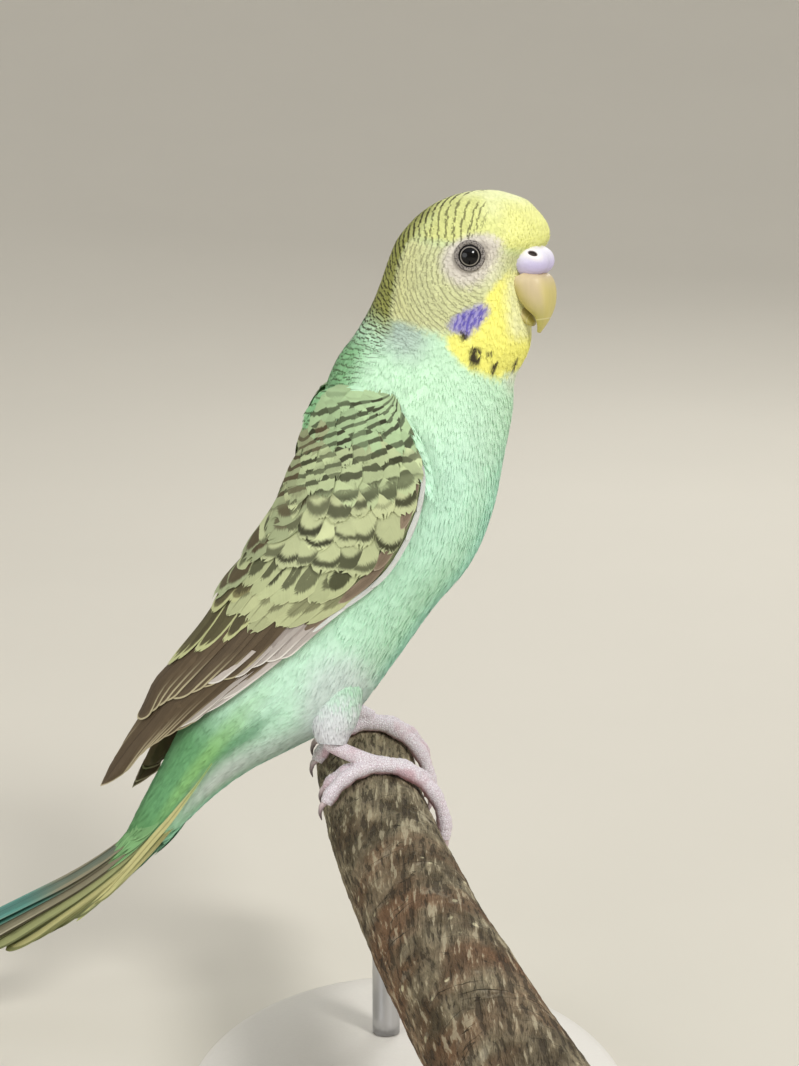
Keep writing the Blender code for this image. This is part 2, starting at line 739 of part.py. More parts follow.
def tail_blade(index, side, group):
    """One tail feather as a thin flat blade with a rounded tip."""
    length, half, sideways, drop, end_pitch, roll = TAIL_FEATHERS[index]
    roll = math.radians(roll)
    shares = (0.0, 0.22, 0.45, 0.72, 0.92, 1.0)
    widths = (0.45, 0.9, 1.0, 1.0, 0.62, 0.15)
    shape = bmesh.new()
    bmesh.ops.create_grid(shape, x_segments=len(shares) - 1, y_segments=2, size=1.0)
    rows = sorted({round(v.co.x, 4) for v in shape.verts})
    for vert in shape.verts:
        row = rows.index(round(vert.co.x, 4))
        centre, up = tail_line(length * shares[row], end_pitch)
        out = np.array([0.0, -1.0, 0.0]) * side
        across = out * math.cos(roll) - up * math.sin(roll)
        centre = centre + out * sideways - up * drop
        place = centre + across * vert.co.y * half * widths[row]
        place = place - up * abs(vert.co.y) * TAIL_CUP * half
        vert.co = stand_place(place)
    bmesh.ops.triangulate(shape, faces=shape.faces)
    bmesh.ops.solidify(shape, geom=shape.faces[:] + shape.edges[:] + shape.verts[:],
                       thickness=VANE_THICKNESS * MM)
    bmesh.ops.recalc_face_normals(shape, faces=shape.faces)
    mesh = bpy.data.meshes.new("tail_feather")
    shape.to_mesh(mesh)
    shape.free()
    blade = bpy.data.objects.new("tail_feather", mesh)
    group.objects.link(blade)
    return blade


def build_tail(group, cutters):
    tail = body_solid("tail", TAIL_SPAN, group)
    blades = [
        tail_blade(index, side, group)
        for index in range(len(TAIL_FEATHERS))
        for side in (1, -1)
    ]
    applied_boolean(tail, "UNION", blades, cutters)
    shaded(tail, finish_material("tail"))


def leg_knots(along, ankle):
    """Middle line of the thigh and shank, from inside the flank to the toes' root."""
    foot = round_perch(along, 90.0, PERCH_RADIUS)
    out = math.copysign(1.0, along)
    return (
        (-7.0, out * 9.0, 18.0),
        (-8.0, out * 9.6, 13.0),
        (-9.2, out * 10.2, 8.2 + 1.2 * ankle),
        (-9.4, out * 10.8, 5.4 + 1.8 * ankle),
        (foot[0] - 3.4, along, foot[2] + 3.1 + ankle),
        (foot[0] + 0.6, along, foot[2] + 1.75 + 0.5 * ankle),
    )


def build_legs(group, cutters):
    rows = 8
    radii = [float(between(np.array(THIGH_RADII), t)) for t in np.linspace(0, 3, rows)]
    for name, (along, ankle) in FEET.items():
        line = smooth_path(leg_knots(along, ankle)[:4], rows)
        thigh = tube("leg_" + name, line, radii, group, sides=4)
        room = body_solid("flank_room", (3.0, 9.0), group, grow=GAP + 0.15)
        applied_boolean(thigh, "DIFFERENCE", [room], cutters)
        shaded(thigh, finish_material("plumage"))


def toe_path(along, wrap_from, wrap_to, slide, distance):
    """A toe's middle line, from the top of the branch round its side."""
    shares = np.linspace(0.0, 1.0, len(TOE_RADII))[1:]
    return [round_perch(along, 90.0, distance)] + [
        round_perch(along + slide * share, wrap_from + (wrap_to - wrap_from) * share, distance)
        for share in shares
    ]


def build_feet(group, cutters):
    rows = 5
    for name, (along, ankle) in FEET.items():
        knots = np.array(leg_knots(along, ankle))
        start = knots[3] * (1.0 - SHANK_START) + knots[4] * SHANK_START
        shank = smooth_path([start, knots[4], knots[5]], rows)
        foot = tube("foot_" + name, shank, [SHANK_RADIUS] * rows, group, sides=3)
        pieces = []
        distance = PERCH_RADIUS + GAP + TOE_RADIUS
        for wrap_from, wrap_to, slide, claw_turn in TOES.values():
            path = toe_path(along, wrap_from, wrap_to, slide, distance)
            pieces.append(tube("toe", path, TOE_RADII, group, sides=2))
            claw_from = wrap_to + math.copysign(CLAW_OVERLAP, claw_turn)
            claw = [
                round_perch(along + slide, claw_from - claw_turn * share, distance + lift)
                for share, lift in CLAW_ARCH
            ]
            pieces.append(tube("claw", claw, CLAW_RADII, group, sides=2))
        applied_boolean(foot, "UNION", pieces, cutters, solver="MANIFOLD")
        shaded(foot, finish_material("leg_skin", 0.55))


def build_perch(group):
    stations = np.linspace(PERCH_FAR_END, PERCH_NEAR_END, PERCH_STATIONS)
    line = [perch_axis(y) for y in stations]
    perch = tube("perch", line, [PERCH_RADIUS] * PERCH_STATIONS, group, sides=5)
    shaded(perch, finish_material("bark", 0.9))


def build_stand(group):
    bpy.ops.mesh.primitive_cylinder_add(vertices=48, radius=1.0, depth=1.0)
    base = bpy.context.object
    base.name = "stand_base"
    for owner in list(base.users_collection):
        owner.objects.unlink(base)
    group.objects.link(base)
    for vert in base.data.vertices:
        vert.co.x *= BASE_HALF_SIZE[0] * MM
        vert.co.y *= BASE_HALF_SIZE[1] * MM
        vert.co.z = (vert.co.z + 0.5) * BASE_THICKNESS * MM
    edge = base.modifiers.new("rounded_rim", "BEVEL")
    edge.width = BASE_EDGE * MM
    edge.segments = 2
    edge.limit_method = "ANGLE"
    edge.angle_limit = math.radians(50)
    shaded(base, finish_material("stand", 0.5))
    for number, along in enumerate(ROD_PLACES, 1):
        foot = perch_axis(along)
        bottom = BASE_THICKNESS - PERCH_TOP_HEIGHT + GAP
        top = -2 * PERCH_RADIUS - GAP
        ends = [(foot[0], along, bottom), (foot[0], along, top)]
        rod = tube(f"stand_rod_{number}", ends, [ROD_RADIUS] * 2, group, sides=4)
        shaded(rod, finish_material("steel", 0.3, 1.0))


def main():
    clear_scene()
    bird = new_collection("budgerigar")
    cutters = new_collection("cutters")
    cutters.hide_render = True
    build_stand(bird)
    build_perch(bird)
    for name, span in (("rump", RUMP_SPAN), ("torso", TORSO_SPAN), ("neck", NECK_SPAN)):
        shaded(body_solid(name, span, bird), finish_material("plumage"))
    build_head(bird, cutters)
    build_eyes(bird)
    build_bill(bird, cutters)
    build_wings(bird, cutters)
    build_tail(bird, cutters)
    build_legs(bird, cutters)
    build_feet(bird, cutters)


main()
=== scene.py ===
"""A life-size budgerigar on a cut branch and a plain display stand: its skin, feathers, horn,
scaly feet and bark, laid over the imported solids. Places are worked out in millimetres in the
bird's own frame, whose origin is the top of the branch between the feet."""
import math

import bmesh
import bpy
import numpy as np
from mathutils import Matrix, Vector, noise
from mathutils.bvhtree import BVHTree
from mathutils.kdtree import KDTree


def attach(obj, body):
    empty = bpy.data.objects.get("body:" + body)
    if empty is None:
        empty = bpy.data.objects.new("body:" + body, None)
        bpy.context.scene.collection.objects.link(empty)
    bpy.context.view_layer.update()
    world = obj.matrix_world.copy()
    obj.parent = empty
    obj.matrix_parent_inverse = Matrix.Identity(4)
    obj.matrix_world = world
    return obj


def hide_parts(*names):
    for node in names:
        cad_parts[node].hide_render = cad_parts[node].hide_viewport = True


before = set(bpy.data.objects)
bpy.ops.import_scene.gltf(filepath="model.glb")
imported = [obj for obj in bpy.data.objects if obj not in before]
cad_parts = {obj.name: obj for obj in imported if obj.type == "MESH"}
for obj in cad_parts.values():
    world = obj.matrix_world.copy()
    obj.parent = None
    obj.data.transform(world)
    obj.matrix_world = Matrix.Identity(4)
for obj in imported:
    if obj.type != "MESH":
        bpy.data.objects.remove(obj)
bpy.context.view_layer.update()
SEED = 7
chance = np.random.default_rng(SEED)

MM = 0.001
SIDES = {"right": 1, "left": -1}
PERCH_TOP_HEIGHT = 56.0
BASE_CENTRE = (5.0, -50.0)
BASE_HALF_SIZE = (40.0, 60.0)
BASE_THICKNESS = 8.0
# The base's outline: share of its half size, and share of its thickness
BASE_PROFILE = ((0.0, 0.5, 0.955, 0.985, 1.0, 1.0, 0.985, 0.5, 0.0),
                (1.0, 1.0, 1.0, 0.95, 0.80, 0.12, 0.0, 0.0, 0.0))
ROD_RADIUS = 2.6
ROD_PLACES = (-22.0, -88.0)
PERCH_RADIUS = 10.1
PERCH_FAR_END = 21.0
PERCH_NEAR_END = -153.0
PERCH_OFFSET = -1.6
PERCH_SLANT = -0.105
PERCH_BEND = 0.000383
PERCH_RISE_START = -12.0
PERCH_RISE = 0.004
BARK_SINK = 0.05
BARK_END_SINK = 0.30
HEAD_YAW = 25.0
HEAD_AXIS = (15.5, 0.0)
EYE_PLACE = (16.15, 115.0)
EYE_RADIUS = 3.1
EYE_DEPTH = 2.0
EYE_SOCKET = 2.75
LID_RADIUS = 2.42
LID_THICKNESS = 0.46
BODY_SQUARENESS = 2.12
FLOOR_RADIUS = 600.0
WALL_BEND = 3000.0
STAND_SHIFT = np.array([*BASE_CENTRE, -PERCH_TOP_HEIGHT])

CAMERA_AIM = (-1.58, 50.0, 100.49)
CAMERA_DISTANCE = 455.6
CAMERA_PITCH = 10.0
LENS_LENGTH = 80.0
SENSOR_HEIGHT = 36.0

# Body sections from the tail coverts to the crown: back x and z, front x and z, half
# width, the wings' depth over the back, and the share of the head's turn.
SECTIONS = np.array((
    (-50.0, -14.6, -44.6, -17.6, 3.6, 0.0, 0.0),
    (-47.0, -8.6, -38.9, -13.4, 5.6, 0.0, 0.0),
    (-43.2, -1.4, -32.8, -7.5, 7.8, 0.0, 0.0),
    (-38.6, 7.6, -25.4, -2.0, 10.2, 0.0, 0.0),
    (-33.8, 17.6, -16.0, 3.0, 12.6, 0.6, 0.0),
    (-29.6, 28.2, -5.8, 8.7, 14.4, 1.6, 0.0),
    (-26.5, 38.8, 2.5, 19.4, 15.6, 2.8, 0.0),
    (-22.8, 47.0, 9.9, 30.0, 16.3, 3.0, 0.0),
    (-18.5, 55.2, 17.0, 38.6, 16.5, 2.8, 0.0),
    (-15.2, 63.1, 21.2, 48.4, 16.2, 2.2, 0.0),
    (-12.5, 70.2, 23.4, 59.4, 15.4, 1.0, 0.0),
    (-8.8, 77.5, 25.0, 68.3, 14.2, 0.0, 0.1),
    (-4.8, 83.2, 25.4, 74.4, 13.2, 0.0, 0.35),
    (-2.0, 88.5, 28.2, 80.1, 12.9, 0.0, 0.7),
    (-0.1, 93.4, 28.6, 85.6, 13.1, 0.0, 0.95),
    (1.3, 97.1, 28.2, 91.1, 13.1, 0.0, 1.0),
    (2.8, 100.5, 28.9, 96.4, 12.8, 0.0, 1.0),
    (4.5, 102.9, 31.4, 100.5, 12.2, 0.0, 1.0),
    (6.9, 105.3, 31.2, 103.1, 11.1, 0.0, 1.0),
    (10.1, 107.4, 29.4, 105.5, 9.4, 0.0, 1.0),
    (13.8, 108.9, 26.8, 107.9, 6.8, 0.0, 1.0),
    (17.6, 109.7, 23.2, 109.4, 3.0, 0.0, 1.0),
    (20.2, 109.85, 20.8, 109.8, 0.3, 0.0, 1.0),
))
BODY_FROM = -1.2
BODY_TO = 22.0

# Folded wing from shoulder to tip: lower and upper edge seen from the side, half the
# width across both wings, and the upper edge's distance from the middle of the back.
WING_SECTIONS = np.array((
    (4.6, 68.9, -2.4, 73.6, 14.6, 10.0),
    (7.4, 62.6, -9.6, 73.2, 16.9, 9.2),
    (8.2, 56.6, -13.2, 69.4, 18.2, 7.6),
    (6.6, 50.2, -15.6, 63.8, 18.5, 6.2),
    (3.4, 43.6, -18.4, 57.0, 18.4, 5.2),
    (-0.6, 38.4, -22.0, 49.6, 17.9, 4.4),
    (-6.2, 34.0, -26.4, 41.8, 17.1, 3.8),
    (-12.6, 28.8, -30.8, 34.6, 15.9, 3.3),
    (-19.0, 22.8, -35.0, 27.6, 14.5, 2.9),
    (-26.2, 16.8, -40.0, 21.4, 12.6, 2.5),
    (-33.2, 11.4, -44.2, 16.2, 10.4, 2.2),
    (-39.4, 7.4, -46.8, 10.4, 8.2, 2.2),
    (-45.8, 2.6, -50.6, 4.2, 6.4, 2.4),
    (-52.4, -3.2, -54.2, -3.0, 5.0, 3.2),
))
WING_LOW_ANGLE = 98.0
WING_PIVOT = (-3.0, 68.0)
WING_DROP = {1: 0.0, -1: 3.8}
WING_CLEAR = 1.4
WING_COVER = (0.7, 12.0)
WING_REACH = 8.0
WEB_DEPTH = 0.55
CAPE_SPACING = 0.85
CAPE_LENGTH = 6.0

TAIL_ROOT = (-41.6, -8.0)
TAIL_ROOT_PITCH = 48.0
TAIL_BEND = 30.0
TAIL_FEATHERS = (
    (66.0, 2.5, 1.5, 0.3, 27.0, 14.0),
    (56.0, 2.5, 2.1, 1.0, 30.0, 24.0),
    (49.0, 2.4, 2.5, 1.6, 33.2, 33.0),
    (44.5, 2.3, 2.8, 2.1, 36.6, 41.0),
    (36.0, 2.2, 3.0, 2.5, 39.6, 50.0),
    (28.0, 2.0, 3.1, 2.8, 42.0, 58.0),
)

FEET = {"right": (-12.5, 0.0), "left": (11.0, 1.9)}
THIGH_RADII = (3.5, 5.2, 6.3, 5.8, 4.1, 2.6)
THIGH_SINK = 4.6
THIGH_SPACING = 0.75
THIGH_SKIN_DEPTH = 0.7
TOE_RADIUS = 1.55
CREASES_ROUND = 62.0
FOOT_VOXEL = 0.2
SHANK_RADIUS = 1.6
GAP = 0.3
TOES = {
    "inner_front": (84.0, 12.0, 3.2, 22.0),
    "outer_front": (84.0, -10.0, -3.6, 22.0),
    "inner_back": (96.0, 146.0, 3.6, -18.0),
    "outer_back": (96.0, 153.0, -2.6, -18.0),
}


def placed(name, data):
    """A new object in the scene."""
    made = bpy.data.objects.new(name, data)
    bpy.context.scene.collection.objects.link(made)
    return made


def place_camera():
    pitch = math.radians(CAMERA_PITCH)
    back = Vector((0.0, -math.cos(pitch), math.sin(pitch)))
    lens = bpy.data.cameras.new("camera")
    lens.lens = LENS_LENGTH
    lens.sensor_fit = "VERTICAL"
    lens.sensor_height = SENSOR_HEIGHT
    lens.clip_start = 0.01
    camera = placed("camera", lens)
    camera.location = (Vector(CAMERA_AIM) + back * CAMERA_DISTANCE) * MM
    camera.rotation_euler = (-back).to_track_quat("-Z", "Y").to_euler()
    bpy.context.scene.camera = camera


place_camera()


# Finishes

def rgb(red, green, blue):
    """A colour seen on screen, 0 to 255, as linear light."""
    seen = np.array((red, green, blue)) / 255.0
    return np.where(seen < 0.04045, seen / 12.92, ((seen + 0.055) / 1.055) ** 2.4)


class Reading:
    """A shader socket that takes part in arithmetic."""

    def __init__(self, finish, socket):
        self.finish = finish
        self.socket = socket

    def work(self, operation, *values):
        return self.finish.add("Math", {"operation": operation}, dict(enumerate(values)))

    def __add__(self, other):
        return self.work("ADD", self, other)

    __radd__ = __add__

    def __sub__(self, other):
        return self.work("SUBTRACT", self, other)

    def __rsub__(self, other):
        return self.work("SUBTRACT", other, self)

    def __mul__(self, other):
        return self.work("MULTIPLY", self, other)

    __rmul__ = __mul__

    def __pow__(self, other):
        return self.work("POWER", self, other)

    def sine(self):
        return self.work("SINE", self)

    def size(self):
        return self.work("ABSOLUTE", self)

    def most(self, other):
        return self.work("MAXIMUM", self, other)

    def between(self, low, high):
        """0 below low and 1 above high, with a soft step; the other way if high is lower."""
        if low > high:
            return 1.0 - self.between(high, low)
        settings = {"interpolation_type": "SMOOTHSTEP"}
        return self.finish.add("MapRange", settings, {0: self, 1: low, 2: high})


class Finish:
    """One procedural material."""

    def __init__(self, name, **constants):
        self.material = bpy.data.materials.new(name)
        self.material.use_nodes = True
        self.tree = self.material.node_tree
        self.shader = self.tree.nodes["Principled BSDF"]
        for key, value in constants.items():
            self.shader.inputs[key.replace("_", " ")].default_value = value

    def set(self, socket, value):
        if isinstance(value, Reading):
            self.tree.links.new(value.socket, socket)
        elif socket.type == "RGBA":
            socket.default_value = (*value, 1.0)
        else:
            socket.default_value = value

    def add(self, kind, settings=None, values=None, output=0):
        node = self.tree.nodes.new("ShaderNode" + kind)
        for key, value in (settings or {}).items():
            setattr(node, key, value)
        for key, value in (values or {}).items():
            self.set(node.inputs[key], value)
        return Reading(self, node.outputs[output])

    def attribute(self, name, output=0):
        return self.add("Attribute", {"attribute_name": name}, output=output)

    def parts(self, name):
        """The three numbers of a vector attribute."""
        vector = self.attribute(name, 1)
        return [self.add("SeparateXYZ", values={0: vector}, output=i) for i in range(3)]

    def place(self):
        return self.add("TexCoord", output=3)

    def stretched(self, scale, vector=None):
        return self.add("Mapping", values={0: vector or self.place(), 3: scale})

    def noise(self, scale, vector=None, detail=3.0, rough=0.5):
        values = {0: vector or self.place(), 2: scale, 3: detail, 4: rough}
        return self.add("TexNoise", values=values)

    def mix(self, first, second, share):
        return self.add("Mix", {"data_type": "RGBA"}, {0: share, 6: first, 7: second}, 2)

    def shade(self, colour, by):
        """A colour made lighter or darker by a number."""
        grey = self.add("CombineXYZ", values={0: by, 1: by, 2: by})
        return self.add("Mix", {"data_type": "RGBA", "blend_type": "MULTIPLY"},
                        {0: 1.0, 6: colour, 7: grey}, 2)

    def colour(self, value):
        self.set(self.shader.inputs["Base Color"], value)

    def rough(self, value):
        self.set(self.shader.inputs["Roughness"], value)

    def bump(self, height, depth, strength=1.0):
        values = {"Strength": strength, "Distance": depth, "Height": height}
        self.set(self.shader.inputs["Normal"], self.add("Bump", values=values))


def plumage_finish(name, wide_bar, fine_bar, rough=0.6):
    """Small feathers and skin: ground colour, bars and the fine strands."""
    made = Finish(name, Roughness=rough, Specular_IOR_Level=0.2)
    ground = made.attribute("ground")
    wide_phase, fine_phase, tone = made.parts("pattern")
    wide, fine, along = made.parts("strength")
    streak = made.noise(1300.0, detail=1.0)
    cloud = made.noise(70.0, detail=2.0)
    mottle = 0.92 + 0.08 * streak + 0.10 * cloud
    root_shade = 0.94 + 0.06 * along.between(0.0, 0.6)
    colour = made.shade(ground, tone * mottle * root_shade)
    wavy = wide_phase + streak * 0.16 + cloud * 0.9
    wide_bars = ((wavy * math.tau).sine() + wide * 0.8 - 0.58).between(0.38, 0.95)
    colour = made.mix(colour, wide_bar, wide_bars * wide)
    fine_bars = ((fine_phase + streak * 0.12) * math.tau).sine().between(0.30, 1.0)
    colour = made.mix(colour, fine_bar, fine_bars * fine)
    made.colour(colour)
    return made.material


def vane_finish(name):
    """Wing and tail feathers: ground, dark centre or crescent, pale edge, shaft and barbs."""
    made = Finish(name, Roughness=0.55, Specular_IOR_Level=0.25)
    ground = made.attribute("ground")
    dark = made.attribute("dark")
    rim = made.attribute("rim")
    along, across, tone = made.parts("vane")
    inner, outer, amount = made.parts("marks")
    rim_width, shaft, bow = made.parts("trim")
    wander = made.noise(420.0, detail=2.0) - 0.5
    slanted = along - 0.40 * across.size() + wander * 0.04
    place = made.add("CombineXYZ", values={0: slanted * 46.0, 1: tone * 90.0})
    own = made.add("TexNoise", {"noise_dimensions": "2D"}, {0: place, 2: 1.0, 3: 2.0}) - 0.5
    ahead = (along - 0.5).most(0.0) * 2.0
    reach = (ahead * ahead + across * across) ** 0.5
    level = ahead + bow * (reach - ahead) + wander * 0.16 + own * 0.30
    colour = made.shade(ground, tone * (1.0 + own * 0.16 + wander * 0.20))
    mottled = made.shade(dark, 1.0 + own * 0.5 + wander * 0.4)
    mark = (level - inner).between(-0.07, 0.09) * (outer - level).between(-0.07, 0.07) * amount
    colour = made.mix(colour, mottled, mark)
    wave, strength = made.parts("wave")[:2]
    phase = wave + 0.25 + wander * 0.55 + own * 0.12
    bars = (phase * math.tau).sine().between(-0.05, 0.5) * strength
    colour = made.mix(colour, mottled, bars)
    edge = (reach + own * 0.05 - 1.0 + rim_width).between(-0.035, 0.03) * along.between(0.3, 0.5)
    colour = made.mix(colour, rim, edge)
    line = across.size().between(0.075, 0.03) * shaft * along.between(0.98, 0.8)
    colour = made.mix(colour, made.mix(dark, ground, 0.2), line)
    made.colour(colour)
    made.bump(own * 0.6 + line * 1.5, 0.00008, 0.6)
    return made.material


# Shared shape tools

def stand_place(points):
    """Places in the stand's frame, in metres."""
    return (np.asarray(points, float) - STAND_SHIFT) * MM


def dress(piece, slot, *replaced):
    """Hangs a piece on the root and hides the solids it replaces; slot, the look it belongs to, is
    not used.
    """
    if replaced:
        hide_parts(*replaced)
    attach(piece, "root")


def unit(vectors):
    return vectors / np.maximum(np.linalg.norm(vectors, axis=-1, keepdims=True), 1e-9)


def ramp(x, low, high):
    share = np.clip((x - low) / (high - low), 0.0, 1.0)
    return share * share * (3 - 2 * share)


def blend(first, second, share):
    return first * (1 - share) + second * share


def signed_power(values, power):
    return np.sign(values) * np.abs(values) ** power


def folded(angle):
    """The angle from the back, the same on both sides."""
    return np.where(angle > 180.0, 360.0 - angle, angle)


def stacked(*values):
    """Numbers side by side, a row to each point."""
    return np.column_stack(values)


def between(table, t):
    """Rows of a table at fractional indices, on a smooth curve through its rows."""
    t = np.atleast_1d(np.asarray(t, float))
    last = len(table) - 1
    i = np.clip(np.floor(t).astype(int), 0, last - 1)
    u = (t - i)[:, None]
    p1 = table[i]
    p2 = table[i + 1]
    p0 = np.where((i > 0)[:, None], table[np.maximum(i - 1, 0)], 2 * p1 - p2)
    p3 = np.where((i + 2 <= last)[:, None], table[np.minimum(i + 2, last)], 2 * p2 - p1)
    inside = 0.5 * (2 * p1 + (p2 - p0) * u + (2 * p0 - 5 * p1 + 4 * p2 - p3) * u**2
                    + (3 * p1 - p0 - 3 * p2 + p3) * u**3)
    before = p1 + (p2 - p0) / 2 * u
    after = p2 + (p3 - p1) / 2 * (u - 1)
    return np.where(u < 0, before, np.where(u > 1, after, inside))


def body_points(t, angle, grow=0.0, turned=True):
    """Points of the plumage: 0 degrees is the back, 90 the right side, 180 the front."""
    rows = between(SECTIONS, t)
    zero = np.zeros(len(rows))
    back = np.stack([rows[:, 0], zero, rows[:, 1]], 1)
    front = np.stack([rows[:, 2], zero, rows[:, 3]], 1)
    depth = np.linalg.norm(back - front, axis=1)
    back = back + (front - back) * (rows[:, 5] / depth)[:, None]
    middle = (back + front) / 2
    arm = (back - front) / 2
    arm = arm * (1 + grow / np.linalg.norm(arm, axis=1))[:, None]
    power = 2 / np.where(np.asarray(t) > 12.0, 2.0, BODY_SQUARENESS)
    c = signed_power(np.cos(np.radians(angle)), power)
    s = signed_power(np.sin(np.radians(angle)), power)
    offset = arm * c[:, None]
    offset[:, 1] -= (np.maximum(rows[:, 4], 0.3) + grow) * s
    if not turned:
        return middle + offset
    yaw = -np.radians(HEAD_YAW) * rows[:, 6]
    return middle + np.stack([
        offset[:, 0] * np.cos(yaw) - offset[:, 1] * np.sin(yaw),
        offset[:, 0] * np.sin(yaw) + offset[:, 1] * np.cos(yaw),
        offset[:, 2],
    ], 1)


def head_frame(forward, side, up):
    """Points by their distance forward of the head's axis, to the bird's right, and up."""
    yaw = -math.radians(HEAD_YAW)
    ahead = (math.cos(yaw), math.sin(yaw), 0.0)
    right = (math.sin(yaw), -math.cos(yaw), 0.0)
    return (np.array([*HEAD_AXIS, 0.0]) + np.multiply.outer(forward, ahead)
            + np.multiply.outer(side, right) + np.multiply.outer(up, (0.0, 0.0, 1.0)))


class Form:
    """A surface over a grid of two numbers, which feathers are laid on."""

    def __init__(self, firsts, seconds, places, around=True):
        self.around = around
        self.firsts = firsts
        self.seconds = seconds
        self.places = places
        run = np.gradient(places, axis=0)
        self.run = unit(run)
        self.normals = unit(np.cross(run, np.gradient(places, axis=1)))
        if ((places - places.mean(1, keepdims=True)) * self.normals).sum() < 0:
            self.normals = -self.normals
        n, m = places.shape[:2]
        corner = np.arange(n * m).reshape(n, m)
        a, b, c, d = (corner[:-1, :-1], corner[1:, :-1], corner[1:, 1:], corner[:-1, 1:])
        self.faces = np.concatenate([np.stack([a, b, c], -1).reshape(-1, 3),
                                     np.stack([a, c, d], -1).reshape(-1, 3)])
        self.tree = BVHTree.FromPolygons(places.reshape(-1, 3).tolist(), self.faces.tolist())
        grid = np.stack(np.meshgrid(firsts, seconds, indexing="ij"), -1)
        self.numbers = grid.reshape(-1, 2)

    def read(self, field, first, second):
        """A field of the grid between its points, and straight on past its edges."""
        x = (first - self.firsts[0]) / (self.firsts[1] - self.firsts[0])
        y = (second - self.seconds[0]) / (self.seconds[1] - self.seconds[0])
        i = np.clip(np.floor(x).astype(int), 0, len(self.firsts) - 2)
        j = np.clip(np.floor(y).astype(int), 0, len(self.seconds) - 2)
        u = (x - i)[:, None]
        v = (y - j)[:, None]
        return blend(blend(field[i, j], field[i + 1, j], u),
                     blend(field[i, j + 1], field[i + 1, j + 1], u), v)

    def look(self, first, second):
        """Places and outward directions at grid numbers."""
        return (self.read(self.places, first, second),
                unit(self.read(self.normals, first, second)))

    def settle(self, points):
        """The grid numbers of the nearest points of the surface."""
        found = [self.tree.find_nearest(p) for p in points.tolist()]
        spots = np.array([hit[0] for hit in found])
        corners = self.faces[[hit[2] for hit in found]]
        a, b, c = (self.places.reshape(-1, 3)[corners[:, k]] for k in range(3))
        ab, ac, ap = b - a, c - a, spots - a
        d00 = (ab * ab).sum(1)
        d01 = (ab * ac).sum(1)
        d11 = (ac * ac).sum(1)
        d20 = (ap * ab).sum(1)
        d21 = (ap * ac).sum(1)
        base = np.maximum(d00 * d11 - d01 * d01, 1e-12)
        v = ((d11 * d20 - d01 * d21) / base)[:, None]
        w = ((d00 * d21 - d01 * d20) / base)[:, None]
        n = self.numbers
        return n[corners[:, 0]] * (1 - v - w) + n[corners[:, 1]] * v + n[corners[:, 2]] * w


def body_form():
    rows = np.linspace(BODY_FROM, BODY_TO, 300)
    angles = np.linspace(0.0, 360.0, 181)
    t, a = (g.ravel() for g in np.meshgrid(rows, angles, indexing="ij"))
    form = Form(rows, angles, body_points(t, a).reshape(300, 181, 3))
    form.flat = body_points(t, a, turned=False).reshape(300, 181, 3)
    return form


def array_mesh(name, points, faces, fields, material, patches, normals):
    """A mesh of many small joined pieces. Faces are rows of three or four points."""
    mesh = bpy.data.meshes.new(name)
    mesh.vertices.add(len(points))
    mesh.vertices.foreach_set("co", stand_place(points).astype(np.float32).ravel())
    loops = np.concatenate([f.ravel() for f in faces])
    counts = np.concatenate([np.full(len(f), f.shape[1]) for f in faces])
    mesh.loops.add(len(loops))
    mesh.loops.foreach_set("vertex_index", loops.astype(np.int32))
    mesh.polygons.add(len(counts))
    starts = np.concatenate([[0], np.cumsum(counts)[:-1]])
    mesh.polygons.foreach_set("loop_start", starts.astype(np.int32))
    mesh.update(calc_edges=True)
    mesh.shade_smooth()
    write_fields(mesh, fields)
    layer = mesh.uv_layers.new(name="OFBake")
    layer.uv.foreach_set("vector", patches[loops].astype(np.float32).ravel())
    mesh.normals_split_custom_set_from_vertices(normals.tolist())
    mesh.materials.append(material)
    return placed(name, mesh)


COLOURS = ("ground", "dark", "rim")


def write_fields(mesh, fields):
    for key, values in fields.items():
        colour = key in COLOURS
        kind = "FLOAT_COLOR" if colour else "FLOAT_VECTOR"
        layer = mesh.attributes.new(key, kind, "POINT")
        values = np.asarray(values, np.float32)
        if colour:
            values = np.concatenate([values, np.ones((len(values), 1), np.float32)], 1)
        layer.data.foreach_set("color" if colour else "vector", values.ravel())


def grid_piece(name, rows, columns, shape, material, closed=True):
    """A piece from a bmesh grid: shape turns its two numbers, 0 to 1, into places."""
    form = bmesh.new()
    bmesh.ops.create_grid(form, x_segments=rows, y_segments=columns, size=1.0)
    numbers = np.array([(v.co.x, v.co.y) for v in form.verts]) / 2 + 0.5
    places, fields = shape(numbers[:, 0], numbers[:, 1])
    for vert, place in zip(form.verts, stand_place(places)):
        vert.co = place
    mesh = bpy.data.meshes.new(name)
    form.to_mesh(mesh)
    form.free()
    write_fields(mesh, fields)
    form = bmesh.new()
    form.from_mesh(mesh)
    bmesh.ops.remove_doubles(form, verts=form.verts, dist=1e-6)
    if closed:
        bmesh.ops.holes_fill(form, edges=[e for e in form.edges if e.is_boundary])
        bmesh.ops.recalc_face_normals(form, faces=form.faces)
    form.to_mesh(mesh)
    form.free()
    mesh.shade_smooth()
    mesh.materials.append(material)
    return placed(name, mesh)


def tube_points(line, radii, around):
    """Rings of a round bar along a line: an array of rings by points."""
    line = np.asarray(line, float)
    ahead = unit(np.gradient(line, axis=0))
    side = np.zeros_like(ahead)
    side[0] = unit(np.cross(ahead[0], (0.3, 0.2, 0.93)))
    for i in range(1, len(line)):
        side[i] = unit(side[i - 1] - ahead[i] * (side[i - 1] @ ahead[i]))
    up = np.cross(ahead, side)
    a = np.asarray(around)
    radii = np.asarray(radii, float)
    radii = radii[:, None] if radii.ndim == 1 else radii
    return (line[:, None] + radii[..., None] * (side[:, None] * np.cos(a)[:, None]
                                                + up[:, None] * np.sin(a)[:, None]))


def smooth_path(knots, count):
    table = np.array(knots, float)
    return between(table, np.linspace(0, len(table) - 1, count))


# Markings

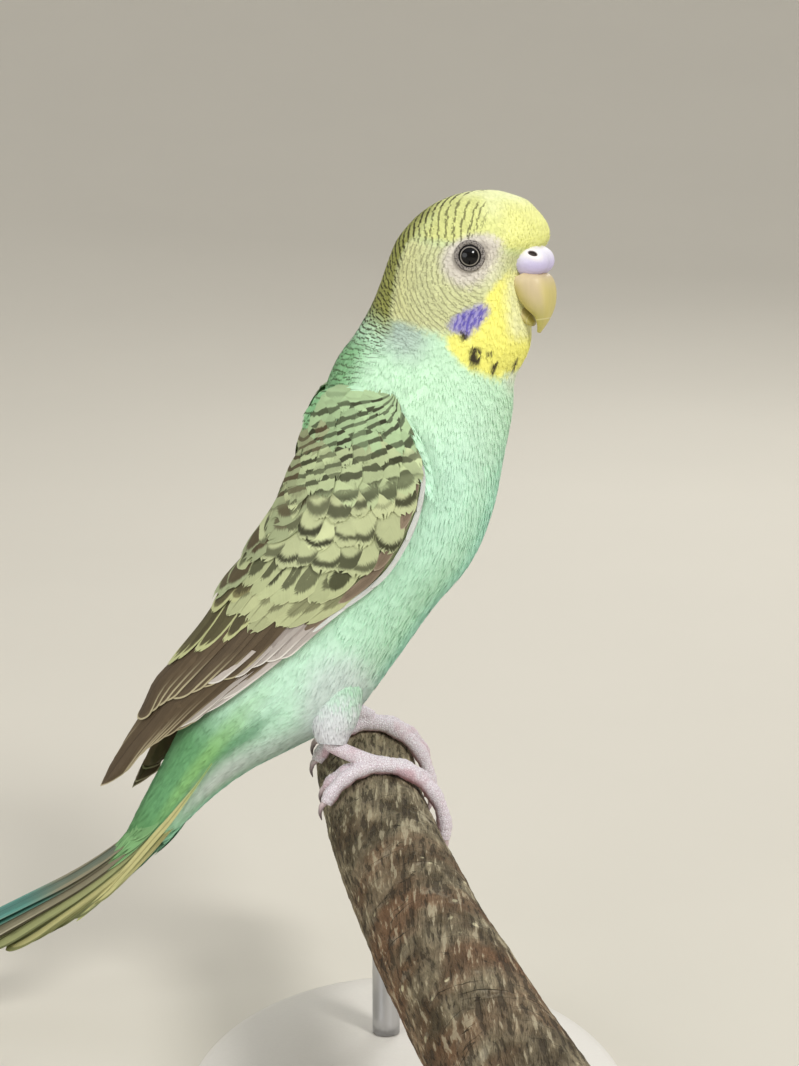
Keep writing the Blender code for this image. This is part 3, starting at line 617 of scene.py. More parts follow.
def spot(t, a, centre, size, turn=0.0, soft=0.3):
    """A soft oval on the head, its size in millimetres round the head and up it."""
    x = (a - centre[1]) * 0.25
    y = (t - centre[0]) * 4.8
    c = math.cos(math.radians(turn))
    s = math.sin(math.radians(turn))
    reach = np.hypot((x * c + y * s) / size[0], (y * c - x * s) / size[1])
    return 1.0 - ramp(reach, 1 - soft, 1 + soft)


def plumage(t, angle, flat):
    """Ground colour, bar phases and bar strengths of the small feathers."""
    a = np.abs(folded(angle))
    x, y, z = flat[:, 0], np.abs(flat[:, 1]), flat[:, 2]
    ground = np.tile(rgb(186, 236, 202), (len(t), 1))

    def wash(colour, share):
        nonlocal ground
        ground = blend(ground, rgb(*colour), np.clip(share, 0.0, 1.0)[:, None])

    wash((202, 240, 208), ramp(t, 8.8, 10.5))
    wash((208, 248, 224), ramp(t, 8.0, 5.0) * ramp(t, 1.2, 3.4) * ramp(a, 160.0, 120.0))
    wash((176, 238, 216), ramp(a, 136.0, 168.0) * ramp(t, 11.4, 8.0))
    wash((206, 242, 226), spot(t, a, (9.0, 120.0), (7.0, 9.0), -30.0, 0.8) * 0.5)
    wash((110, 168, 116), ramp(t, 4.6, 2.8) * ramp(a, 124.0, 92.0))
    wash((146, 198, 124), spot(t, a, (2.6, 84.0), (2.4, 7.0), 10.0, 0.9) * 0.75)
    wash((84, 146, 102), spot(t, a, (3.6, 96.0), (1.5, 3.4), 0.0, 0.8) * 0.6)
    wash((222, 228, 226), spot(t, a, (2.6, 120.0), (4.4, 5.0), 0.0, 0.8) * 0.75)
    wash((218, 232, 228), spot(t, a, (4.3, 140.0), (5.0, 6.0), 0.0, 0.8) * 0.7)
    wash((166, 220, 180), ramp(t, 1.2, 0.1) * ramp(a, 110.0, 140.0))
    by_thigh = ramp(np.hypot((x + 8.0) / 10.0, (z - 13.0) / 15.0), 1.0, 0.4)
    wash((222, 234, 234), by_thigh * ramp(a, 60.0, 90.0) * 0.75)
    wash((96, 146, 92), ramp(t, 1.6, 0.0) * ramp(a, 100.0, 70.0) * 0.8)
    wash((150, 204, 152), ramp(a, 56.0, 30.0) * ramp(t, 3.0, 6.0) * ramp(t, 12.4, 11.4))
    wash((172, 190, 182), spot(t, a, (12.65, 70.0), (4.4, 3.6), -20.0, 0.7) * 0.8)
    wash((232, 242, 220), ramp(a, 146.0, 168.0) * ramp(t, 11.3, 12.2))
    wash((162, 166, 92), ramp(t, 12.0, 13.2) * ramp(a, 66.0, 50.0))
    cheek = ramp(t, 12.8, 13.2) * ramp(t, 16.9, 16.2) * ramp(a, 50.0, 60.0)
    wash((214, 218, 166), cheek)
    wash((226, 228, 168), cheek * ramp(a, 86.0, 60.0) * 0.8)
    wash((222, 226, 150), ramp(t, 16.2, 16.9) * ramp(a, 30.0, 70.0) + ramp(t, 18.0, 20.0))
    wash((234, 238, 176), ramp(t, 19.6, 20.8) + ramp(t, 18.0, 19.5) * ramp(a, 96.0, 120.0))
    wash((242, 243, 160), ramp(a, 116.0, 146.0) * ramp(t, 16.2, 17.1) * ramp(t, 20.6, 18.8))
    left_edge = np.interp(t, (12.0, 13.0, 13.4, 14.3, 15.0, 15.6), (98, 100, 116, 129, 138, 150))
    low_edge = np.interp(a, (96, 104, 112, 122, 140, 160, 180),
                         (12.9, 12.6, 12.3, 12.1, 12.0, 12.2, 12.4))
    mask = ramp(a - left_edge, -4.0, 4.0) * ramp(t - low_edge, -0.14, 0.14) * ramp(t, 15.9, 15.3)
    wash((249, 246, 130), mask)
    wash((240, 242, 196), mask * ramp(a, 144.0, 162.0) * ramp(t, 13.1, 13.8) * 0.8)
    wash((232, 232, 200), spot(t, a, (15.9, 134.0), (2.8, 3.2), 0.0, 0.6) * 0.9)
    eye_gap = np.hypot((a - EYE_PLACE[1]) * 0.235, (t - EYE_PLACE[0]) * 4.3)
    wash((222, 216, 204), ramp(eye_gap, 6.4, 4.0))
    wash((176, 168, 160), ramp(eye_gap, 3.6, 2.8) * 0.7)
    violet = np.maximum(spot(t, a, (13.85, 120.0), (1.5, 4.6), -56.0, 0.35),
                        spot(t, a, (13.55, 115.5), (1.3, 2.0), -10.0, 0.35) * 0.9)
    streaks = 0.5 + 0.5 * np.sin((x * 0.86 - z * 0.5) * math.tau / 0.85)
    wash((172, 164, 216), violet)
    wash((104, 94, 184), violet * ramp(streaks, 0.15, 0.6))
    for centre, size, turn in THROAT_SPOTS:
        wash((64, 58, 42), spot(t, a, centre, size, turn))

    swing = np.degrees(np.arctan2(21.0 - x, z - 78.0))
    turned = np.clip(swing, 0.0, 80.0)
    wide_phase = turned / 3.65 + 0.00095 * turned**2 + (swing - turned) * 0.426
    fine_phase = np.linalg.norm(stacked(x, y, z) - FINE_SOURCE, axis=1) / 1.02
    forehead = ramp(t, 19.5, 20.3) * ramp(a, 40.0, 76.0)
    crown_bars = ramp(a, 122.0, 106.0) * ramp(t, 16.1, 16.6) * (1 - forehead)
    nape_bars = ramp(a, 66.0, 52.0) * ramp(t, 10.2, 12.6)
    mantle_bars = ramp(a, 60.0, 40.0) * ramp(t, 3.5, 5.0) * 0.7
    wide = np.maximum(np.maximum(crown_bars * 0.72, nape_bars * 0.95), mantle_bars)
    wide = np.maximum(wide, spot(t, a, (12.6, 70.0), (4.0, 4.0), 0.0, 0.6) * 0.5)
    wide = wide * (1 - ramp(eye_gap, 4.6, 3.4))
    fine = cheek * ramp(a, 138.0, 124.0) * (1 - violet) * (1 - mask) * ramp(eye_gap, 3.6, 5.0)
    return ground, stacked(wide_phase, fine_phase), stacked(wide, fine * 0.55)


# Each throat patch: where it is up the head and round it, its size and its turn
THROAT_SPOTS = (
    ((13.17, 113.2), (0.75, 0.85), 0.0),
    ((12.55, 123.0), (1.1, 1.6), 8.0),
    ((12.75, 134.0), (0.25, 0.7), 30.0),
    ((12.35, 141.0), (0.5, 1.15), -18.0),
    ((12.5, 164.0), (0.6, 1.2), 0.0),
)
# Where the cheek's fine bars spread from, on the right side
FINE_SOURCE = body_points(np.array([15.7]), np.array([129.0]), turned=False)[0] * (1, -1, 1)
EYE_SPOTS = body_points(np.full(2, EYE_PLACE[0]), np.array([EYE_PLACE[1], 360.0 - EYE_PLACE[1]]))
BODY = body_form()


# Small feathers

LAY_ROWS = 5
SCATTER_TRIES = 5.0
TUFT_CUP = 0.35
TUFT_RISE = 0.08
TUFT_STEPS = (0.0, 0.42, 0.78)
TUFT_WIDTHS = (0.55, 1.0, 0.9)
STRAND_WIDTH = 1.42


class Tuft:
    """One pattern of a small feather: narrow strands side by side, each to its own tip."""

    def __init__(self, strands, ragged, spread):
        along, across, raised, quads, tips = [], [], [], [], []
        half = STRAND_WIDTH / strands
        for k in range(strands):
            middle = (k + 0.5) / strands * 2 - 1
            reach = 1.0 - 0.30 * abs(middle) ** 2.2 - ragged * chance.random()
            lean = spread * chance.normal() * 0.5
            height = chance.normal() * 0.5
            first = len(along)
            for step, width in zip(TUFT_STEPS, TUFT_WIDTHS):
                for side in (-1, 1):
                    along.append(step * reach)
                    blade = 0.5 + 0.5 * math.sin(math.pi * min(1.0, step * 1.1) ** 0.9)
                    centre = middle * (0.55 + 0.45 * blade) + lean * step * step
                    across.append(centre + side * half * width)
                    raised.append(height * step)
            along.append(reach)
            across.append(middle * 0.92 + lean)
            raised.append(height * 1.3)
            for j in range(2):
                a = first + j * 2
                quads.append((a, a + 2, a + 3, a + 1))
            tips.append((first + 4, first + 6, first + 5))
        self.along, self.across, self.raised = (np.array(v) for v in (along, across, raised))
        self.quads, self.tips = np.array(quads), np.array(tips)


def lay_grid(form, places, lie, length, width):
    """Grid numbers of points under each feather: rows along the lie, three across."""
    numbers = np.zeros((len(places), LAY_ROWS, 3, 2))
    here = form.settle(places)
    step = (length / (LAY_ROWS - 1))[:, None]
    for row in range(LAY_ROWS):
        spots, normals = form.look(*here.T)
        way = lie(form, here, spots)
        way = unit(way - normals * (way * normals).sum(1, keepdims=True))
        side = np.cross(normals, way)
        numbers[:, row, 1] = here
        for column, sign in ((0, -1.0), (2, 1.0)):
            numbers[:, row, column] = form.settle(spots + side * sign * width[:, None])
        if row < LAY_ROWS - 1:
            here = form.settle(spots + way * step)
    return numbers


def read_sheet(values, along, across):
    """Values of a rows by three sheet at a pattern's points, for every feather."""
    rows = values.shape[1]
    x = np.clip(along, 0, 1) * (rows - 1)
    i = np.minimum(x.astype(int), rows - 2)
    u = (x - i)[None, :, None]
    y = np.clip(across + 1, -0.3, 2.3)
    j = np.clip(y.astype(int), 0, 1)
    v = (y - j)[None, :, None]
    return blend(blend(values[:, i, j], values[:, i + 1, j], u),
                 blend(values[:, i, j + 1], values[:, i + 1, j + 1], u), v)


def turn_free(numbers, around):
    """The angle kept unbroken within each feather, where it crosses the back."""
    if not around:
        return numbers
    angle = numbers[..., 1]
    first = angle[:, :1, 1:2]
    numbers[..., 1] = first + (angle - first + 180.0) % 360.0 - 180.0
    return numbers


def scatter(form, spacing, keep):
    """Places spread evenly at random over a form, as far apart as spacing says."""
    p = form.places
    area = np.linalg.norm(np.cross(p[1:, :-1] - p[:-1, :-1], p[:-1, 1:] - p[:-1, :-1]), axis=2)
    first = (form.firsts[1:] + form.firsts[:-1]) / 2
    second = (form.seconds[1:] + form.seconds[:-1]) / 2
    f, s = np.meshgrid(first, second, indexing="ij")
    gap = spacing(f.ravel(), s.ravel())
    weight = area.ravel() / gap**2 * keep(f.ravel(), s.ravel())
    count = int(weight.sum() * SCATTER_TRIES)
    cells = chance.choice(len(weight), count, p=weight / weight.sum())
    i, j = np.divmod(cells, p.shape[1] - 1)
    first = form.firsts[i] + chance.random(count) * (form.firsts[1] - form.firsts[0])
    second = form.seconds[j] + chance.random(count) * (form.seconds[1] - form.seconds[0])
    places = form.read(form.places, first, second)
    gap = spacing(first, second)
    tree = KDTree(count)
    for k, place in enumerate(places.tolist()):
        tree.insert(place, k)
    tree.balance()
    alive = np.ones(count, bool)
    chosen = []
    for k in range(count):
        if alive[k]:
            chosen.append(k)
            for _, other, _ in tree.find_range(places[k].tolist(), float(gap[k])):
                alive[other] = False
    return places[chosen], np.stack([first[chosen], second[chosen]], 1)


def small_feathers(name, form, places, numbers, lie, length, width, depth, material,
                   paint, patterns, tip_height):
    """One coat piece: a tuft at every place, following the form and the lie."""
    sheets = turn_free(lay_grid(form, places, lie, length, width), form.around)
    around = sheets.copy()
    if form.around:
        around[..., 1] = np.mod(around[..., 1], 360.0)
    spots, normals = (read.reshape(*around.shape[:3], 3)
                      for read in form.look(*around.reshape(-1, 2).T))
    pick = chance.integers(0, len(patterns), len(places))
    fields = {"ground": [], "pattern": [], "strength": []}
    points, quads, tips, patches, facing = [], [], [], [], []
    total = 0
    for k, tuft in enumerate(patterns):
        chosen = np.flatnonzero(pick == k)
        if not len(chosen):
            continue
        at = read_sheet(spots[chosen], tuft.along, tuft.across)
        up = unit(read_sheet(normals[chosen], tuft.along, tuft.across))
        here = read_sheet(sheets[chosen], tuft.along, tuft.across)
        rise = ramp(tuft.along, 0.0, 0.9)[None]
        deep = depth[chosen][:, None]
        height = -deep * (1 - rise) + tip_height[chosen][:, None] * rise
        height = height + tuft.raised[None] * TUFT_RISE * np.minimum(deep, 0.6)
        height = height - TUFT_CUP * deep * (tuft.across[None] ** 2) * (1 - rise * 0.5)
        at = at + up * height[..., None]
        facing.append(up.reshape(-1, 3))
        count, size = at.shape[:2]
        reach = (0.035, 0.8 if form.around else 0.005)
        look = (here + chance.normal(size=(count, 1, 2)) * reach).reshape(-1, 2)
        if form.around:
            look[:, 1] = np.mod(look[:, 1], 360.0)
        ground, phases, strengths = paint(form, look)
        tone = 1.0 + 0.04 * chance.normal(size=(count, 1)) + np.zeros((count, size))
        # Painted light and shade: strands that stand higher are a little lighter and sunken ones a
        # little darker, on top of each feather's random tone.
        tone = tone + 0.04 * tuft.raised[None]
        points.append(at.reshape(-1, 3))
        fields["ground"].append(ground)
        fields["pattern"].append(stacked(phases, tone.ravel()))
        fields["strength"].append(stacked(strengths, np.tile(tuft.along, count)))
        shift = (np.arange(count) * size + total)[:, None, None]
        quads.append((tuft.quads[None] + shift).reshape(-1, 4))
        tips.append((tuft.tips[None] + shift).reshape(-1, 3))
        root = numbers[chosen]
        second = np.mod(root[:, 1], 360.0) if form.around else root[:, 1]
        unwrapped = stacked((second - form.seconds[0]) / np.ptp(form.seconds),
                            (root[:, 0] - form.firsts[0]) / np.ptp(form.firsts))
        local = stacked(tuft.across * 0.5 + 0.5, tuft.along) * 0.003
        patches.append((unwrapped[:, None] * 0.99 + local[None]).reshape(-1, 2))
        total += count * size
    fields = {key: np.concatenate(values) for key, values in fields.items()}
    return array_mesh(name, np.concatenate(points), [np.concatenate(quads), np.concatenate(tips)],
                      fields, material, np.concatenate(patches), np.concatenate(facing))


def body_paint(form, numbers):
    return plumage(*numbers.T, form.read(form.flat, *numbers.T))


BILL_BASE = head_frame(11.5, 0.0, 93.5)


def body_lie(form, numbers, spots):
    """Feathers run back from the bill on the head, and down the body towards the tail."""
    down = -form.read(form.run, *numbers.T)
    away = unit(spots - BILL_BASE)
    head = ramp(numbers[:, 0], 12.2, 14.5)[:, None]
    sag = np.array([0.0, 0.0, -0.35])
    return blend(down, unit(away + sag * ramp(numbers[:, 0], 17.5, 15.5)[:, None]), head)


def wing_grid(side):
    """The folded wing's outer surface, kept clear of the body."""
    rows = np.linspace(-0.6, 13.4, 141)
    columns = np.linspace(-0.06, 1.06, 57)
    s, q = (g.ravel() for g in np.meshgrid(rows, columns, indexing="ij"))
    low_x, low_z, high_x, high_z, width, middle = between(WING_SECTIONS, s).T
    low = math.radians(WING_LOW_ANGLE)
    high = np.arcsin(np.minimum(0.95, middle / width))
    angle = low + (high - low) * q
    share = (np.cos(angle) - math.cos(low)) / (np.cos(high) - math.cos(low))
    x = low_x + (high_x - low_x) * share - WING_PIVOT[0]
    z = low_z + (high_z - low_z) * share - WING_PIVOT[1]
    drop = math.radians(WING_DROP[side])
    places = np.stack([WING_PIVOT[0] + x * math.cos(drop) - z * math.sin(drop),
                       -side * width * np.sin(angle),
                       WING_PIVOT[1] + x * math.sin(drop) + z * math.cos(drop)], 1)
    spots, outward = BODY.look(*BODY.settle(places).T)
    gap = WING_CLEAR - 2.0 * ramp(s, 0.9, -0.6) - ((places - spots) * outward).sum(1)
    tucked = ramp(s, 1.2, 0.2) * (s <= 1.0)
    places = places + outward * blend(np.maximum(0.0, gap), gap, tucked)[:, None]
    form = Form(rows, columns, places.reshape(len(rows), len(columns), 3), around=False)
    if (form.normals[40, 20, 1] > 0) == (side > 0):
        form.normals = -form.normals
    return form


WINGS = {side: wing_grid(side) for side in SIDES.values()}


def under_wing(numbers):
    """Which places of the body lie well under a folded wing."""
    spots = BODY.read(BODY.places, *numbers.T)
    hidden = np.zeros(len(spots), bool)
    for form in WINGS.values():
        near = form.settle(spots)
        over = form.read(form.places, *near.T)
        s, q = near.T
        inside = (s > WING_COVER[0]) & (s < WING_COVER[1]) & (q > 0.10) & (q < 0.94)
        hidden |= inside & (np.linalg.norm(over - spots, axis=1) < WING_REACH)
    return hidden


def from_eyes(places):
    return np.linalg.norm(places[:, None] - EYE_SPOTS, axis=2).min(1)


def coat_spacing(t, a):
    face = ramp(folded(a), 120.0, 140.0) * ramp(t, 15.0, 15.8)
    gap = np.interp(t, (-1.2, 2.0, 5.0, 9.0, 11.0, 12.5, 13.5, 16.0, 20.0, 21.7),
                    (0.92, 1.0, 1.05, 1.05, 0.88, 0.72, 0.60, 0.56, 0.54, 0.52))
    return gap * (1 - 0.25 * face)


def coat_sizes(numbers, places):
    """Length, half width and depth of the feather at each root."""
    t = numbers[:, 0]
    length = np.interp(t, (-1.2, 2.0, 6.0, 10.0, 12.0, 13.5, 15.5, 21.7),
                       (8.0, 7.5, 7.5, 6.5, 4.6, 3.1, 2.3, 2.1))
    face = ramp(folded(numbers[:, 1]), 118.0, 140.0) * ramp(t, 15.0, 16.0)
    length = length * (1 - 0.35 * face) * (0.45 + 0.55 * ramp(from_eyes(places), 2.5, 6.5))
    length = length * (1 + 0.12 * chance.normal(size=len(t))).clip(0.75, 1.3)
    width = length * np.interp(t, (-1.0, 10.0, 13.0, 21.0), (0.20, 0.22, 0.27, 0.30))
    depth = np.interp(t, (-1.2, 0.5, 6.0, 11.0, 13.5, 21.7), (0.28, 0.32, 0.34, 0.28, 0.18, 0.16))
    return length, width, depth


def clothe_body(material):
    places, numbers = scatter(BODY, coat_spacing, lambda t, a: t > -0.9)
    keep = (from_eyes(places) > EYE_SOCKET) & ~under_wing(numbers)
    places, numbers = places[keep], numbers[keep]
    length, width, depth = coat_sizes(numbers, places)
    fine = [Tuft(6, 0.30, 0.10) for _ in range(8)]
    hairy = [Tuft(9, 0.42, 0.14) for _ in range(10)]
    yellow, green = "plumage_yellow", "plumage_green"
    bands = (("coat_rump", -2.0, 4.0, hairy, green), ("coat_belly", 4.0, 8.6, hairy, green),
             ("coat_breast", 8.6, 12.2, hairy, green), ("coat_cheeks", 12.2, 16.2, fine, yellow),
             ("coat_crown", 16.2, 30.0, fine, yellow))
    for name, low, high, patterns, slot in bands:
        chosen = (numbers[:, 0] >= low) & (numbers[:, 0] < high)
        t, angle = numbers[chosen].T
        face = ramp(np.abs(angle - 180.0), 60.0, 20.0) * ramp(t, 15.8, 17.0) * ramp(t, 20.6, 19.2)
        tip = np.where(t > 13.0, 0.05, 0.06) + 0.35 * face
        piece = small_feathers(name, BODY, places[chosen], numbers[chosen], body_lie,
                               length[chosen], width[chosen], depth[chosen], material,
                               body_paint, patterns, tip)
        dress(piece, slot)


def make_skin(material):
    def shape(u, v):
        t = BODY_FROM + 0.3 + (BODY_TO - BODY_FROM - 0.3) * u
        angle = 360.0 * v
        grow = -np.interp(t, (-1.2, 1.0, 6.0, 11.0, 13.5, 21.7),
                          (0.30, 0.36, 0.38, 0.32, 0.22, 0.20))
        places = body_points(t, angle, grow)
        flat = body_points(t, angle, grow, turned=False)
        ground, phases, strengths = plumage(t, angle, flat)
        return places, {"ground": ground, "pattern": stacked(phases, 0.97 + 0 * t),
                        "strength": stacked(strengths, 0.4 + 0 * t)}

    skin = grid_piece("skin", 200, 120, shape, material)
    dress(skin, "plumage_green", "head", "neck", "torso", "rump")


# Wings and tail

class Vane:
    """One pattern of a wing or tail feather: along, across, and where its tip rounds off."""

    def __init__(self, rows, columns, tip_from, root_width, ragged=0.0):
        share = np.linspace(0.0, 1.0, rows)
        along = np.where(share < 0.5, share * 2 * tip_from,
                         tip_from + (share - 0.5) * 2 * (1 - tip_from))
        across = np.linspace(-1.0, 1.0, columns)
        u, v = np.meshgrid(along, across, indexing="ij")
        u = u * (1.0 - ragged * chance.random((1, columns)) * ramp(u, tip_from, 1.0))
        ahead = np.clip((u - tip_from) / (1 - tip_from), 0.0, 1.0)
        body = root_width + (1 - root_width) * ramp(u, 0.0, 0.45)
        self.along = u.ravel()
        self.across = (v * np.sqrt(np.maximum(1 - ahead**2, 0.004)) * body).ravel()
        self.read = np.where(u < tip_from, 0.5 * u / tip_from, 0.5 + 0.5 * ahead).ravel()
        corner = np.arange(rows * columns).reshape(rows, columns)
        self.quads = stacked(*(part.ravel() for part in (corner[:-1, :-1], corner[:-1, 1:],
                                                         corner[1:, 1:], corner[1:, :-1])))


class Plume:
    """How one tier of feathers looks."""

    def __init__(self, ground, dark, rim, marks, rim_width=0.06, shaft=0.0, bow=1.0,
                 tip_from=0.5, root_width=0.6, cup=0.25, ragged=0.0, rows=15, columns=11,
                 tilt=0.14, stray=0.11):
        self.colours = {"ground": rgb(*ground), "dark": rgb(*dark), "rim": rgb(*rim)}
        self.marks = marks
        self.trim = (rim_width, shaft, bow)
        self.cup = cup
        self.tilt = tilt
        self.stray = stray
        self.patterns = [Vane(rows, columns, tip_from, root_width, ragged) for _ in range(4)]


class Plumes:
    """Collects vanes and joins them into one piece."""

    def __init__(self, name, cells):
        self.name = name
        self.cells = cells
        self.points, self.quads, self.facing, self.patches = [], [], [], []
        self.fields = {key: [] for key in (*COLOURS, "vane", "marks", "trim", "wave")}
        self.total = 0
        self.number = 0

    def put(self, plume, vane, places, facing, marks=None, tone=1.0, ground=None, wave=None):
        size = len(places)
        self.points.append(places)
        self.quads.append(vane.quads + self.total)
        self.facing.append(facing)
        for key in COLOURS:
            value = plume.colours[key] if key != "ground" or ground is None else ground
            self.fields[key].append(np.broadcast_to(value, (size, 3)))
        self.fields["vane"].append(stacked(vane.read, vane.across, np.full(size, tone)))
        wave = np.zeros((size, 3)) if wave is None else wave
        marks = np.tile(marks or plume.marks, (size, 1))
        marks[:, 2] *= 1 - wave[:, 1]
        self.fields["marks"].append(marks)
        self.fields["wave"].append(wave)
        self.fields["trim"].append(np.tile(plume.trim, (size, 1)))
        row, column = divmod(self.number, self.cells)
        cell = stacked((vane.across + 1.02) / 2.04, vane.along * 0.98 + 0.01)
        self.patches.append((cell * 0.94 + 0.03 + (column, row)) / self.cells)
        self.total += size
        self.number += 1

    def join(self, material, slot, *replaced):
        fields = {key: np.concatenate(values) for key, values in self.fields.items()}
        points = np.concatenate(self.points)
        quads = np.concatenate(self.quads)
        facing = np.concatenate(self.facing)
        corners = points[quads]
        own = np.cross(corners[:, 2] - corners[:, 0], corners[:, 3] - corners[:, 1])
        wrong = (own * facing[quads[:, 0]]).sum(1) < 0
        quads[wrong] = quads[wrong, ::-1]
        dress(array_mesh(self.name, points, [quads], fields, material,
                         np.concatenate(self.patches), facing), slot, *replaced)


def wing_vane(form, tip, length, half, drift, lift, vane, cup, tilt):
    """Places and outward directions of one vane on the folded wing, its root behind its tip."""
    tip = np.array(tip)

    def scale_at(s, q):
        pair = form.read(form.places, np.array([s - 0.15, s + 0.15, s, s]),
                         np.array([q, q, q - 0.05, q + 0.05]))
        gaps = np.linalg.norm(pair[1::2] - pair[::2], axis=1)
        return max(gaps[0] / 0.3, 3.0), max(gaps[1] / 0.1, 4.0)

    per_s, per_q = scale_at(*tip)
    root = tip - np.array([length / per_s, drift])
    per_s, per_q = scale_at(*(root + tip) / 2)
    run = unit((tip - root) * (per_s, per_q))
    offset = vane.across * half
    s = root[0] + (tip[0] - root[0]) * vane.along
    q = root[1] + (tip[1] - root[1]) * vane.along
    wide = np.linalg.norm(form.read(form.places, s, q + 0.05)
                          - form.read(form.places, s, q - 0.05), axis=1) / 0.1
    s = s - run[1] * offset / per_s
    q = q + run[0] * offset / np.maximum(wide, 4.0)
    places, normals = form.look(s, q)
    over = np.maximum(q - 1.04, 0.0) * per_q
    height = ROOT_DEPTH + (lift - ROOT_DEPTH) * ramp(vane.along, -0.1, 0.75)
    height = height - cup * vane.across**2 - tilt * vane.across - over * 0.3
    return places + normals * height[:, None], normals, s, q


ROOT_DEPTH = -0.7
HOOD = Plume((170, 196, 150), (46, 46, 26), (176, 198, 152), (0.34, 0.58, 0.3), 0.0,
             bow=0.12, ragged=0.14, stray=0.06)
LESSER = Plume((186, 200, 154), (46, 46, 26), (192, 204, 158), (0.42, 0.68, 1.0), 0.0,
               bow=0.24, ragged=0.12, stray=0.06)
MEDIAN = Plume((194, 202, 156), (48, 48, 28), (200, 206, 160), (0.46, 0.74, 1.0), 0.0,
               bow=0.42, ragged=0.12, stray=0.09)
GREATER = Plume((184, 192, 146), (54, 54, 32), (194, 200, 154), (-0.05, 0.44, 0.95), 0.05,
                bow=0.9, ragged=0.10, stray=0.09)
YELLOW = Plume((178, 184, 140), (86, 84, 56), (190, 196, 150), (-0.1, 0.5, 0.75), 0.05, 0.5,
               bow=0.9, ragged=0.08)
TERTIAL = Plume((126, 122, 84), (72, 66, 46), (190, 194, 142), (-0.2, 0.80, 0.9), 0.16, 0.5,
                ragged=0.05)
SCAPULAR = Plume((164, 174, 134), (80, 66, 46), (170, 180, 140), (-0.3, 0.60, 1.0), 0.0, 0.2,
                 bow=0.8, ragged=0.2, stray=0.2)
FLIGHT = {"root_width": 0.8, "cup": 0.08, "tilt": 0.42, "stray": 0.05}
SECONDARY = Plume((94, 80, 61), (66, 54, 40), (184, 175, 142), (0.0, 0.6, 0.4), 0.12, 0.8,
                  tip_from=0.88, rows=20, **FLIGHT)
PRIMARY = Plume((92, 78, 59), (66, 54, 40), (176, 165, 136), (0.0, 0.7, 0.3), 0.10, 0.9,
                tip_from=0.90, rows=26, **FLIGHT)
PALE = Plume((184, 176, 170), (118, 104, 96), (228, 224, 216), (0.0, 0.4, 0.5), 0.14, 0.6,
             tip_from=0.86, rows=20, **FLIGHT)
EDGE = Plume((214, 218, 214), (170, 160, 154), (228, 231, 226), (0.0, 0.2, 0.2), 0.1, 0.1,
             tip_from=0.8, stray=0.0)
INNER_EDGE = Plume((134, 118, 100), (92, 78, 62), (170, 156, 138), (0.0, 0.6, 0.4), 0.08, 0.3,
                   tip_from=0.8, stray=0.02)

# Tiers from the tip of the wing up to the shoulder: look, how many, the tips' line (q then s
# at its low end, middle and high end), length, half width, drift, and height of the tips
WING_TIERS = (
    (PRIMARY, 9, ((0.16, 10.8), (0.34, 12.2), (0.50, 13.2)), 45.0, 2.5, 0.0, 0.05),
    (PALE, 4, ((0.05, 9.6), (0.10, 10.4), (0.16, 11.0)), 36.0, 2.0, 0.0, 0.12),
    (SECONDARY, 8, ((0.30, 9.0), (0.56, 10.2), (0.82, 11.2)), 28.0, 2.8, 0.0, 0.20),
    (PALE, 5, ((0.06, 7.9), (0.16, 8.5), (0.32, 9.2)), 20.0, 2.2, 0.0, 0.28),
    (TERTIAL, 7, ((0.50, 7.9), (0.72, 8.7), (0.92, 9.2)), 22.0, 1.9, -0.02, 0.32),
    (INNER_EDGE, 4, ((0.06, 3.4), (0.055, 5.4), (0.05, 7.3)), 17.0, 1.0, 0.0, 0.30),
    (EDGE, 6, ((0.015, 2.8), (0.0, 4.8), (0.0, 7.0)), 14.0, 0.45, 0.0, 0.34),
    (TERTIAL, 2, ((0.70, 7.2), (0.76, 7.4), (0.82, 7.5)), 16.0, 3.0, 0.0, 0.40),
    (YELLOW, 8, ((0.10, 7.0), (0.36, 7.4), (0.64, 7.5)), 16.0, 2.6, -0.02, 0.38),
    (GREATER, 8, ((0.12, 6.1), (0.42, 6.8), (0.80, 6.6)), 13.0, 2.6, -0.06, 0.42),
    (MEDIAN, 7, ((0.10, 5.1), (0.42, 5.7), (0.78, 6.0)), 11.0, 2.9, -0.12, 0.44),
    (MEDIAN, 7, ((0.08, 4.1), (0.40, 5.0), (0.76, 5.3)), 10.0, 2.9, -0.16, 0.46),
    (MEDIAN, 7, ((0.06, 3.2), (0.40, 4.3), (0.74, 4.7)), 9.5, 3.0, -0.20, 0.48),
    (LESSER, 7, ((0.05, 2.65), (0.40, 3.7), (0.72, 4.1)), 8.5, 2.9, -0.24, 0.50),
    (LESSER, 7, ((0.04, 2.1), (0.40, 3.1), (0.72, 3.6)), 8.0, 2.8, -0.26, 0.50),
    (LESSER, 7, ((0.04, 1.6), (0.38, 2.5), (0.72, 3.2)), 7.0, 2.6, -0.28, 0.51),
    (HOOD, 8, ((0.05, 1.15), (0.38, 2.0), (0.74, 2.9)), 6.4, 2.3, -0.30, 0.52),
    (HOOD, 8, ((0.08, 0.75), (0.40, 1.55), (0.76, 2.5)), 6.0, 2.2, -0.32, 0.52),
    (HOOD, 8, ((0.14, 0.40), (0.42, 1.15), (0.78, 2.1)), 5.6, 2.1, -0.34, 0.52),
    (HOOD, 8, ((0.20, 0.10), (0.46, 0.80), (0.78, 1.7)), 5.2, 2.0, -0.34, 0.52),
    (HOOD, 7, ((0.30, -0.1), (0.52, 0.50), (0.78, 1.3)), 5.0, 1.9, -0.34, 0.52),
    (SCAPULAR, 11, ((0.86, 2.9), (0.84, 5.0), (0.92, 7.2)), 12.0, 3.3, 0.05, 0.60),
)

